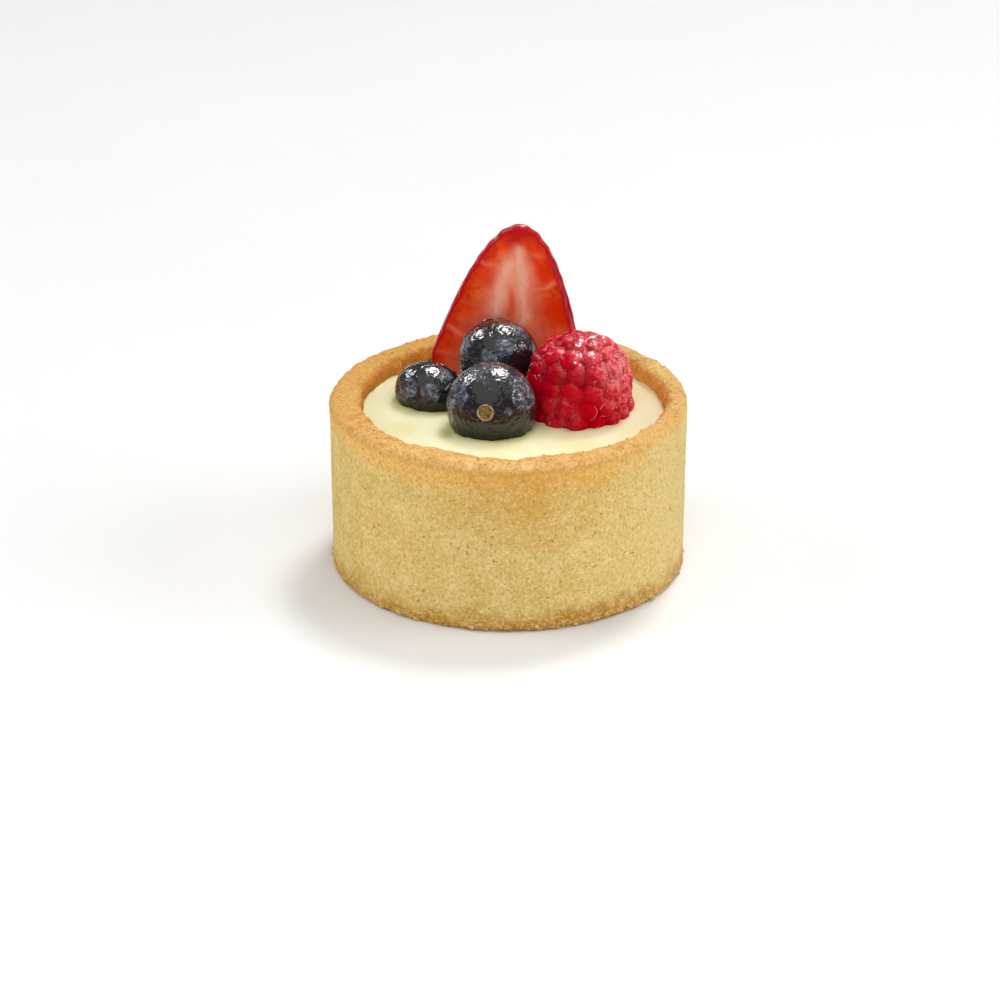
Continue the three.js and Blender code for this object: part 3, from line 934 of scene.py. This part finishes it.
def bloom_and_reflection_shares(side, placed, points, patches, seed):
    """Ragged patches of bloom, each round a direction, broken by rubbed streaks; the patches are bloom and
    painted reflections of the side lights.
    """
    spread = np.zeros(len(side))
    for way, reach in patches:
        spread = np.maximum(spread, hill(np.arccos((side @ unit(way)).clip(-1, 1)), reach))
    spread = np.maximum(spread, 0.6 * smoothstep(0.1, 0.6, side[:, 1]))
    edge = smoothstep(0.32, 0.58, spread + 0.42 * rough_noise(placed, 2.4, 4, seed=seed + 8))
    rubbed = rough_noise(points * WRINKLE_ACROSS * 0.8, 1.0, 3, seed=seed + 9)
    return edge * (0.45 + 0.55 * smoothstep(-0.25, 0.2, rubbed))


def make_blueberry(name, spec, seed, material):
    """A berry with a ragged crown, a hollow stem scar, and slight dents and wrinkles."""
    profile, kinds, lip, dish = berry_profile(spec["radius"], spec["half_height"])
    rows = len(profile)
    angle = np.tile(full_turn(BERRY_SIDES), (rows, 1))
    reach = np.repeat(profile[:, :1], BERRY_SIDES, axis=1)
    height = np.repeat(profile[:, 1:], BERRY_SIDES, axis=1)
    lobe = 0.5 + 0.5 * np.cos(CROWN_LOBES * angle)
    on_crown = smoothstep(lip - CROWN_HEIGHT, lip, height) * (kinds == ON_CROWN)[:, None]
    reach = reach * (1 + CROWN_FLARE * on_crown * lobe)
    height = height - CROWN_DIP * on_crown * (1 - lobe)
    flat = turned(reach, angle, height).reshape(-1, 3)
    part = np.repeat(kinds, BERRY_SIDES)
    bulge = 0.16 * noise(flat, 5.5, seed=seed) + 0.06 * rough_noise(flat, 1.7, 3, seed=seed + 1)
    across = rough_noise(flat * WRINKLE_ACROSS, 1.0, 2, seed=seed + 2)
    along = rough_noise(flat * WRINKLE_ALONG, 1.0, 2, seed=seed + 4)
    bulge += 0.035 * across + 0.03 * along
    flat += unit(flat) * (bulge * (0.35 + 0.65 * (part == ON_SKIN)))[:, None]
    flat[:, 2] += 0.12 * noise(flat, 0.9, seed=seed + 3) * (part == ON_CROWN)
    in_scar = (part == ON_RING) | (part == IN_SCAR)
    flat[:, :2] *= (1 + 0.10 * noise(flat, 0.9, seed=seed + 6) * in_scar)[:, None]
    scar_pole = (0, 0, profile[0, 1])
    points, faces = closed_skin(flat.reshape(rows, BERRY_SIDES, 3), scar_pole, (0, 0, dish))
    placed = stood(points, spec["crown"], spec["middle"])
    side = unit(placed - np.array(spec["middle"]))
    sunk = smoothstep(CUSTARD_LEVEL + 5.0, CUSTARD_LEVEL + 0.4, placed[:, 2])
    placed += side * (0.24 * rough_noise(placed, 1.5, 3, seed=seed + 7) * sunk)[:, None]
    berry = add_piece(f"{name}_skin", placed, faces, material)
    part = np.append(part, [IN_SCAR, ON_CROWN])
    paint(berry, scar_ring=part == ON_RING, scar_hollow=part == IN_SCAR, crown=part == ON_CROWN)
    paint(berry, bloom=bloom_and_reflection_shares(side, placed, points, spec["bloom"], seed))
    paint(berry, low=smoothstep(CUSTARD_LEVEL + 4.5, CUSTARD_LEVEL, placed[:, 2]))
    return dress(berry, "blueberry", name)


def random_from(seed):
    """Seeded random numbers from 0 to 1, the same as the CAD part's."""
    state = seed
    while True:
        state = (state * 1664525 + 1013904223) % 4294967296
        yield state / 4294967296


def dome_outline(reach, low, high, shares):
    """Points at even shares of the length of a blunt dome's outline, from foot to top."""
    turn = np.linspace(0, math.pi / 2, 600)
    power = 2 / RASPBERRY_BLUNTNESS
    across = reach * np.cos(turn).clip(0) ** power
    up = low + (high - low) * np.sin(turn) ** power
    length = np.concatenate([[0], np.cumsum(np.hypot(np.diff(across), np.diff(up)))])
    at = np.asarray(shares) * length[-1]
    return np.column_stack([np.interp(at, length, across), np.interp(at, length, up)])


def drupelet_spots():
    """Middles and radii of the drupelets, row by row up the dome."""
    random = random_from(RASPBERRY_SEED)

    def shake():
        return DRUPELET_SCATTER * (next(random) - 0.5)

    low = CUSTARD_LEVEL - RASPBERRY_SINK + DRUPELET_RADIUS * DRUPELET_SEAT
    high = RASPBERRY_TOP - DRUPELET_RADIUS * (1 - DRUPELET_SHRINK)
    climbs = np.arange(DRUPELET_ROWS) / (DRUPELET_ROWS - 1)
    dome = dome_outline(RASPBERRY_RADIUS - DRUPELET_RADIUS, low, high, climbs)
    middles = []
    radii = []
    for row, climb in enumerate(climbs):
        size = DRUPELET_RADIUS * (1 - DRUPELET_SHRINK * climb)
        reach, up = dome[row]
        count = max(1, round(2 * math.pi * reach / DRUPELET_SPACING))
        for i in range(count):
            angle = 2 * math.pi * (i + 0.5 * (row % 2)) / count
            x = reach * math.cos(angle) + size * shake()
            y = reach * math.sin(angle) + size * shake()
            z = up + size * shake()
            middles.append((RASPBERRY_MIDDLE[0] + x, RASPBERRY_MIDDLE[1] + y, z))
            radii.append(size * (1 + shake()))
    return np.array(middles), np.array(radii)


def dome_exit(directions, centre_height, inset):
    """Distance from the raspberry's centre to the surface of its dome, or of one inside it."""
    reach = RASPBERRY_RADIUS - inset
    up = RASPBERRY_TOP - inset - centre_height
    down = centre_height - (CUSTARD_LEVEL - RASPBERRY_SINK)
    across = np.hypot(directions[:, 0], directions[:, 1]) / reach
    rise = directions[:, 2] / np.where(directions[:, 2] > 0, up, down)
    power = RASPBERRY_BLUNTNESS
    return (across**power + np.abs(rise) ** power) ** (-1 / power)


def make_raspberry(middles, radii, material):
    """One skin over all the drupelets, creased where they meet."""
    centre = np.array([*RASPBERRY_MIDDLE, 37.2])
    rings = ball_rings(RASPBERRY_RINGS, RASPBERRY_SIDES)
    directions = np.vstack([rings.reshape(-1, 3), [0, 0, -1], [0, 0, 1]])
    core = dome_exit(directions, centre[2], DRUPELET_RADIUS * CORE_INSET)
    warp = np.stack([noise(directions, 0.16, seed=43 + i) for i in range(3)], axis=-1)
    warped = unit(directions + DRUPELET_WARP * warp)
    exits = np.zeros((len(directions), len(middles) + 1))
    exits[:, -1] = core
    for i, (middle, radius) in enumerate(zip(middles, radii)):
        ahead = warped @ (middle - centre)
        room = ahead**2 - np.sum((middle - centre) ** 2) + radius**2
        met = room > 0
        exits[met, i] = ahead[met] + np.sqrt(room[met])
    order = np.sort(exits, axis=1)
    # Nearness to a crease between drupelets: it deepens the creases and is painted as shade there.
    crease = 1 - smoothstep(0.0, 0.5, order[:, -1] - order[:, -2])
    union = order[:, -1] + DRUPELET_BLEND * np.log(
        np.exp((exits - order[:, -1:]) / DRUPELET_BLEND).sum(axis=1)
    ).clip(0, 1.2)
    full = dome_exit(directions, centre[2], 0)
    distance = union + DRUPELET_SWELL * np.maximum(full - union, 0) - 0.06 * crease
    points = centre + directions * distance[:, None]
    points += directions * (0.05 * rough_noise(points, 1.1, 2, seed=41))[:, None]
    points[:, 2] = np.maximum(points[:, 2], CUSTARD_LEVEL - RASPBERRY_SINK)
    skin, faces = closed_skin(points[:-2].reshape(rings.shape), points[-2], points[-1])
    raspberry = add_piece("raspberry_drupelets", skin, faces, material)
    own = np.argmax(exits, axis=1)
    tone = np.array([0.5 + 0.5 * math.sin(12.9 * i) for i in range(len(middles) + 1)])
    side = unit(skin - centre)
    facing = side @ unit((0.85, -0.15, 0.35))
    upper_left = side @ unit((-0.55, -0.35, 0.75))
    right = smoothstep(0.3, 0.9, facing)
    seats = np.vstack([middles, centre])
    # A painted highlight on the upper right of each drupelet.
    drupelet_highlight = smoothstep(0.2, 0.95, unit(skin - seats[own]) @ unit((0.75, -0.1, 0.65)))
    # Edges where drupelets meet, painted pale as bright translucent edges: a painted highlight.
    rim = hill(order[:, -1] - order[:, -2] - 0.45, 0.3) * (0.5 + 0.5 * noise(skin, 1.6, seed=45))
    # A pink veil, partly fuzz and partly painted light: brightest on the right side, on each drupelet's
    # painted highlight, along the bright edges and at the lower front.
    fuzz = right * (0.2 + 0.5 * drupelet_highlight + 0.3 * rim) + 0.35 * drupelet_highlight * smoothstep(0.4, 0.9, upper_left)
    fuzz += (0.08 + 0.35 * rim) * smoothstep(0.90, 0.97, side @ unit(PALE_FRONT))
    wet = smoothstep(0.0, 0.6, side @ unit((0.0, -0.25, 0.97))) * (0.6 + 0.7 * noise(skin, 1.6, seed=47))
    # The brighter share is half random per drupelet and half painted highlight; the creases are painted
    # shade.
    paint(raspberry, crease=0.9 * crease, tone=0.5 * tone[own] + 0.5 * drupelet_highlight)
    paint(raspberry, wet=np.clip(wet, 0, 1), fuzz=np.clip(fuzz, 0, 1))
    return dress(raspberry, "raspberry", "raspberry")


def tube(path, radii, sides):
    """A closed tube along a path, thinner towards its end."""
    along = unit(np.gradient(path, axis=0))
    across = unit(np.cross(along, [0.31, 0.52, 0.8]))
    other = np.cross(along, across)
    turn = full_turn(sides)
    circle = np.cos(turn)[None, :, None] * across[:, None] + np.sin(turn)[None, :, None] * other[:, None]
    rings = path[:, None] + circle * np.asarray(radii)[:, None, None]
    return closed_skin(rings, path[0], path[-1])


def on_skin(path, tree, rise):
    """A path laid on a skin, a little above it."""
    laid = []
    for i, point in enumerate(path):
        spot, normal, _, _ = tree.find_nearest(Vector(point))
        laid.append(np.array(spot) + np.array(normal) * rise[i])
    return np.array(laid)


def make_hairs(middles, radii, tree, material):
    """Withered hairs that curl over the drupelets, and thin pale arcs round some of them as painted
    highlights of their edges.
    """
    rng = np.random.default_rng(HAIR_SEED)
    centre = np.array([*RASPBERRY_MIDDLE, 36.0])
    bare = unit(BARE_SIDE)
    parts = []
    for middle, radius in zip(middles, radii):
        out = unit(middle - centre)
        crowded = smoothstep(0.95, 0.55, out @ bare)
        for _ in range(round(crowded * rng.uniform(0.6, 3.6))):
            spot = unit(out + rng.normal(0, 0.5, 3))
            slide = unit(np.cross(spot, rng.normal(0, 1, 3)))
            bend = np.cross(spot, slide)
            curl = rng.uniform(0.7, 2.2)
            turn = np.linspace(0, rng.uniform(0.5, 1.2) / curl, 9)[:, None]
            free = middle + spot * radius + curl * (np.sin(turn) * slide + (1 - np.cos(turn)) * bend)
            rise = 0.04 + 0.4 * rng.random() * np.linspace(0, 1, 9) ** 3
            thickness = rng.uniform(0.05, 0.10)
            parts.append(tube(on_skin(free, tree, rise), np.linspace(thickness, 0.03, 9), 5))
        # Thin pale arcs round some drupelets: painted highlights of their bright translucent edges.
        if rng.random() < 0.35 * crowded:
            slide = unit(np.cross(out, (0.3, 0.2, 1)))
            bend = np.cross(out, slide)
            start = rng.uniform(0, 2 * math.pi)
            turn = np.linspace(start, start + rng.uniform(1.0, 3.2), 16)[:, None]
            reach = radius * rng.uniform(0.6, 0.85)
            free = middle + out * radius * 0.7 + reach * (np.cos(turn) * slide + np.sin(turn) * bend)
            rim = 0.08 * np.sin(np.linspace(0.3, math.pi - 0.3, 16))
            parts.append(tube(on_skin(free, tree, 0 * rim), rim, 5))
    points, faces = joined(parts)
    hairs = add_piece("raspberry_hairs", points, faces, material)
    return dress(hairs, "raspberry")


def strawberry_half_width(depth):
    """Half width at a distance below the tip: a parabola that rounds off at the shoulder."""
    cone = np.sqrt(2 * STRAWBERRY_TIP_RADIUS * depth)
    past = np.maximum(0, depth - STRAWBERRY_SHOULDER)
    rounding = past / (STRAWBERRY_LENGTH - STRAWBERRY_SHOULDER)
    narrowed = np.sqrt(1 - STRAWBERRY_NARROWING * rounding**2)
    return np.minimum(cone, STRAWBERRY_HALF_WIDTH) * narrowed


def strawberry_seeds():
    """Places of the seeds on the whole berry, before it is flattened, tip at the origin."""
    spots = []
    for ring in range(2, SEED_RINGS + 1, 2):
        depth = STRAWBERRY_LENGTH * ((SEED_RINGS + 1 - ring) / SEED_RINGS) ** RING_EASE
        reach = float(strawberry_half_width(depth))
        if reach <= DIMPLE_FREE_RADIUS:
            continue
        for side in range((ring // 2) % 2, SEED_SIDES, 2):
            angle = 2 * math.pi * side / SEED_SIDES
            spots.append((reach * math.sin(angle), -reach * math.cos(angle), -depth))
    return np.array(spots)


def strawberry_place(points):
    """Flattens, leans and moves points of the whole berry to their place on the tart."""
    lean = Matrix.Rotation(math.radians(STRAWBERRY_LEAN), 3, "Y")
    flat = points * np.array([1, STRAWBERRY_FLATNESS, 1])
    x, y, z = STRAWBERRY_TIP
    return flat @ np.array(lean).T + np.array([x, y + STRAWBERRY_CUT, z])


def dimpled(points, seeds):
    """Sinks the skin round each seed and lets it bulge between them."""
    flat = points.reshape(-1, 3)
    nearest = np.full(len(flat), 9.0)
    for seed in seeds:
        nearest = np.minimum(nearest, np.linalg.norm(flat - seed, axis=1))
    reach = np.hypot(flat[:, 0], flat[:, 1])
    strength = 0.75 + 0.45 * noise(flat, 6.0, seed=57)
    sink = DIMPLE_DEPTH * strength * hill(nearest, 0.95) - 0.10 * smoothstep(0.8, 2.2, nearest)
    shrink = 1 - sink * smoothstep(0.5, 3, reach) / np.maximum(reach, 0.5)
    flat[:, 0] *= shrink
    flat[:, 1] *= shrink
    return flat.reshape(points.shape)


def strawberry_rings(seeds):
    """Rings from the tip down: the round skin from the right cut edge to the left one, then
    the cut face back to the right."""
    share = np.linspace(0, 1, STRAWBERRY_ROWS + 1)[1:]
    depth = STRAWBERRY_LENGTH * share**1.5
    width = strawberry_half_width(depth)
    cut = STRAWBERRY_CUT / STRAWBERRY_FLATNESS
    edge = np.arcsin(np.minimum(1, cut / width))
    along = np.linspace(0, 1, SKIN_COLUMNS + 1)
    turn = -edge[:, None] + (math.pi + 2 * edge[:, None]) * along
    across = width[:, None]
    down = 0 * turn - depth[:, None]
    skin = np.stack([across * np.cos(turn), across * np.sin(turn), down], axis=-1)
    skin = dimpled(skin, seeds)
    open_rows = width > cut
    skin[open_rows, 0, 1] = -cut
    skin[open_rows, -1, 1] = -cut
    share = np.linspace(0, 1, FACE_COLUMNS + 1)[1:-1, None]
    face = skin[:, -1:] + (skin[:, :1] - skin[:, -1:]) * share
    return np.concatenate([skin, face], axis=1), depth, open_rows


# The cut face's marks, as x and z on the face; radii or half widths in the same units
STREAKS = [
    (((-0.3, 54.5), (-1.2, 49.9), (-2.6, 44.5)), 1.15),
    (((2.2, 58.0), (2.9, 50.0), (3.2, 42.5)), 0.95),
]
BLOBS = [
    ((6.9, 52.8), (1.7, 3.0), 1.0),
    ((9.0, 45.0), (3.4, 2.8), 1.0),
    ((-4.2, 51.8), (1.9, 2.2), 0.7),
    ((0.5, 46.5), (0.9, 4.0), 0.8),
    ((-8.0, 45.5), (2.5, 2.4), 0.6),
    ((-11.5, 38.0), (2.2, 1.6), 0.7),
    ((3.5, 58.3), (2.4, 1.6), 0.6),
    ((9.5, 38.5), (2.6, 1.4), 0.5),
]
VEINS = [
    ((-1.7, 53.1), (-5.2, 55.6), 0.8),
    ((-8.5, 39.2), (-12.8, 41.8), 1.0),
    ((-9.8, 35.6), (-15.0, 36.6), 0.5),
    ((4.8, 48.9), (9.0, 50.8), 1.0),
    ((4.5, 56.2), (6.9, 56.6), 0.5),
    ((7.0, 39.5), (12.6, 41.4), 0.45),
    ((-5.5, 46.0), (-9.8, 47.4), 0.3),
]
CORE_TOP = (1.7, 59.8)


def to_segment(x, z, start, end):
    """Distance from points to a straight line between two points, and the share along it."""
    (ax, az), (bx, bz) = start, end
    length = (bx - ax) ** 2 + (bz - az) ** 2
    share = np.clip(((x - ax) * (bx - ax) + (z - az) * (bz - az)) / length, 0, 1)
    return np.hypot(x - ax - share * (bx - ax), z - az - share * (bz - az)), share


def face_marks(points, edge_distance):
    """Shares of the core, streaks, blobs, veins and rind over the cut face."""
    waver = 0.5 * noise(points, 2.2, seed=51)
    x = points[:, 0] + waver
    z = points[:, 2] + 0.5 * noise(points, 2.6, seed=52)
    below = CORE_TOP[1] - z
    half_core = 2.2 + 0.52 * np.maximum(below, 0)
    core = smoothstep(1.05, 0.15, np.abs(x - CORE_TOP[0] + 0.10 * below) / half_core)
    core *= smoothstep(-0.5, 5.0, below) * smoothstep(0.4, 3.0, edge_distance)
    core *= 1 - 0.45 * smoothstep(8.0, 17.0, below)
    streak = np.zeros(len(x))
    for path, half_width in STREAKS:
        for start, end in zip(path, path[1:]):
            distance, _ = to_segment(x, z, start, end)
            streak = np.maximum(streak, hill(distance, half_width))
    blob = np.zeros(len(x))
    for (cx, cz), (rx, rz), strength in BLOBS:
        blob = np.maximum(blob, strength * np.exp(-(((x - cx) / rx) ** 2 + ((z - cz) / rz) ** 2) ** 1.4))
    vein = np.zeros(len(x))
    for start, end, strength in VEINS:
        distance, share = to_segment(x, z, start, end)
        vein = np.maximum(vein, strength * hill(distance, 0.42) * (0.5 + 0.5 * share))
    rind = smoothstep(0.8, 0.2, edge_distance + 0.2 * waver)
    tip = smoothstep(57.0, 62.0, z)
    return {
        "core": np.clip(core * (1 - 0.9 * blob), 0, 1),
        "streak": streak * (0.7 + 0.3 * noise(points, 1.6, seed=53)),
        "blob": blob,
        "vein": vein * smoothstep(0.1, 0.6, edge_distance),
        "rind": np.maximum(np.maximum(rind, 0.5 * smoothstep(2.6, 0.4, edge_distance)), tip),
    }


def make_strawberry(seeds, material):
    """The half berry with its flat cut face to the front."""
    rings, depth, open_rows = strawberry_rings(seeds)
    columns = rings.shape[1]
    bottom = (0, 0, -STRAWBERRY_LENGTH + STRAWBERRY_PIT)
    points, faces = closed_skin(rings, (0, 0, 0), bottom)
    on_face = np.zeros((len(depth), columns))
    on_face[open_rows, SKIN_COLUMNS + 1 :] = 1
    on_face = np.append(on_face.ravel(), [0, 0])
    left = np.repeat(rings[:, SKIN_COLUMNS, 0], columns)
    right = np.repeat(rings[:, 0, 0], columns)
    x = rings[..., 0].ravel()
    edge_distance = np.append(np.minimum(x - left, right - x), [0, 0]) * 0.9
    placed = strawberry_place(points)
    marks = face_marks(placed, edge_distance)
    plane = STRAWBERRY_TIP[1]
    rolled = SKIN_ROLL * smoothstep(57.5, 54.5, placed[:, 2]) * (1 + 0.25 * noise(placed, 3.0, seed=58))
    right_distance = np.append(right - x, [9, 9])
    back = plane + 0.8 * rolled * smoothstep(1, 0, right_distance / np.maximum(rolled, 0.05)) ** 2
    placed[:, 1] = np.maximum(placed[:, 1], np.where(rolled > 0.05, back, plane))
    fine = 0.05 * rough_noise(placed * np.array([1, 1, 0.4]), 1.0, 2, seed=55)
    relief = on_face * (fine + 0.12 * marks["vein"] - 0.10 * marks["core"] + 0.08 * marks["streak"])
    placed[:, 1] -= relief
    berry = add_piece("strawberry_flesh", placed, faces, material)
    berry.data.set_sharp_from_angle(angle=math.radians(50))
    flat_part = smoothstep(0.75, 1.05, right_distance / np.maximum(rolled, 0.05))
    paint(berry, face=on_face * flat_part, **marks)
    return dress(berry, "strawberry", "strawberry_half")


def make_seeds(seeds, tree, material):
    """Pointed seeds that lie in the dimples of the skin."""
    tip = Vector(STRAWBERRY_TIP)
    parts = []
    for spot in strawberry_place(seeds):
        behind = spot[1] - STRAWBERRY_TIP[1]
        if behind < (0.6 if spot[0] < STRAWBERRY_TIP[0] else 2.4) or spot[2] > STRAWBERRY_TIP[2] - 2:
            continue
        place, normal, _, _ = tree.find_nearest(Vector(spot))
        along = tip - place
        along = (along - normal * along.dot(normal)).normalized()
        across = normal.cross(along)
        points, faces = unit_ball(8, 8)
        taper = 1 - 0.35 * (points[:, 2] + 1) / 2
        seed = (
            np.outer(points[:, 0] * 0.40 * taper, across)
            + np.outer(points[:, 1] * 0.22, normal)
            + np.outer(points[:, 2] * 0.66, along)
        )
        parts.append((seed + np.array(place + normal * 0.08), faces))
    points, faces = joined(parts)
    return dress(add_piece("strawberry_seeds", points, faces, material), "strawberry")


# Each light: direction from the tart, distance and size in metres, power in watts, and
# whether it lights the tart or is mirrored in wet skins
SOFTBOXES = {
    "key": ((0.20, 0.42, 0.88), 1.2, 0.30, 4.8, "lights"),
    "key_gleam": ((0.20, 0.42, 0.88), 1.2, 0.23, 62.0, "gleams"),
    "top": ((0.10, -0.15, 0.98), 1.3, 1.2, 6.0, "lights"),
    "left": ((-0.82, 0.05, 0.50), 1.3, 0.7, 6.3, "lights"),
    "left_gleam": ((-0.62, 0.45, 0.65), 1.3, 0.42, 8.0, "gleams"),
    "right": ((0.85, -0.05, 0.48), 1.3, 0.7, 6.4, "lights"),
    "right_gleam": ((0.90, -0.10, 0.45), 1.3, 0.42, 5.5, "gleams"),
    "top_gleam": ((-0.19, -0.51, 0.82), 1.3, 1.7, 6.5, "gleams"),
    "front": ((-0.05, -0.86, 0.45), 1.5, 1.2, 9.2, "lights"),
}
SKY = (1.0, 1.0, 1.0)
SKY_STRENGTH = 0.15


def add_softbox(name, direction, distance, size, power, use):
    """A square light that shines on the tart from a direction."""
    light = bpy.data.lights.new(name, "AREA")
    light.size = size
    light.energy = power
    box = bpy.data.objects.new(name, light)
    aim = Vector(direction).normalized()
    box.location = aim * distance
    box.rotation_euler = aim.to_track_quat("Z", "Y").to_euler()
    box.visible_glossy = use == "gleams"
    box.visible_diffuse = use == "lights"
    bpy.context.scene.collection.objects.link(box)


def add_studio():
    """A dim white surround, lights that only light the tart, and gleams that it only mirrors."""
    world = bpy.data.worlds.new("studio")
    world.use_nodes = True
    background = world.node_tree.nodes["Background"]
    background.inputs["Color"].default_value = (*SKY, 1)
    background.inputs["Strength"].default_value = SKY_STRENGTH
    bpy.context.scene.world = world
    bpy.context.scene.view_settings.view_transform = "Standard"
    for name, settings in SOFTBOXES.items():
        add_softbox(name, *settings)


def add_floor():
    """A wide floor under the tart."""
    half = 4000.0
    corners = [(-half, -half, 0), (half, -half, 0), (half, half, 0), (-half, half, 0)]
    floor = add_piece("floor", corners, [[0, 1, 2, 3]], floor_paint())


def add_camera():
    """The camera looks along +Y from in front and above."""
    elevation = math.radians(CAMERA_ELEVATION)
    lens = bpy.data.cameras.new("camera")
    lens.sensor_width = SENSOR_WIDTH
    lens.lens = CAMERA_LENS
    lens.clip_start = 0.01
    camera = bpy.data.objects.new("camera", lens)
    back = Vector((0, -math.cos(elevation), math.sin(elevation)))
    camera.location = (Vector(CAMERA_TARGET) + back * CAMERA_DISTANCE) / METRE
    camera.rotation_euler = (math.pi / 2 - elevation, 0, 0)
    bpy.context.scene.collection.objects.link(camera)
    bpy.context.scene.camera = camera


def make_tart():
    """All the pieces, the fruit before the custard that clings to it."""
    pastry = pastry_paint()
    crust = make_crust(pastry)
    make_crumbs(surface_tree(crust), pastry)
    skin = blueberry_paint()
    trees = {}
    for seed, (name, spec) in enumerate(BLUEBERRIES.items()):
        trees[name] = surface_tree(make_blueberry(name, spec, 60 + 10 * seed, skin))
    middles, radii = drupelet_spots()
    trees["raspberry"] = surface_tree(make_raspberry(middles, radii, raspberry_paint()))
    make_hairs(middles, radii, trees["raspberry"], hair_paint())
    seeds = strawberry_seeds()
    trees["strawberry"] = surface_tree(make_strawberry(seeds, strawberry_paint()))
    make_seeds(seeds, trees["strawberry"], seed_paint())
    make_custard(trees, custard_paint())


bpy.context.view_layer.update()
make_tart()
add_floor()
add_studio()
add_camera()
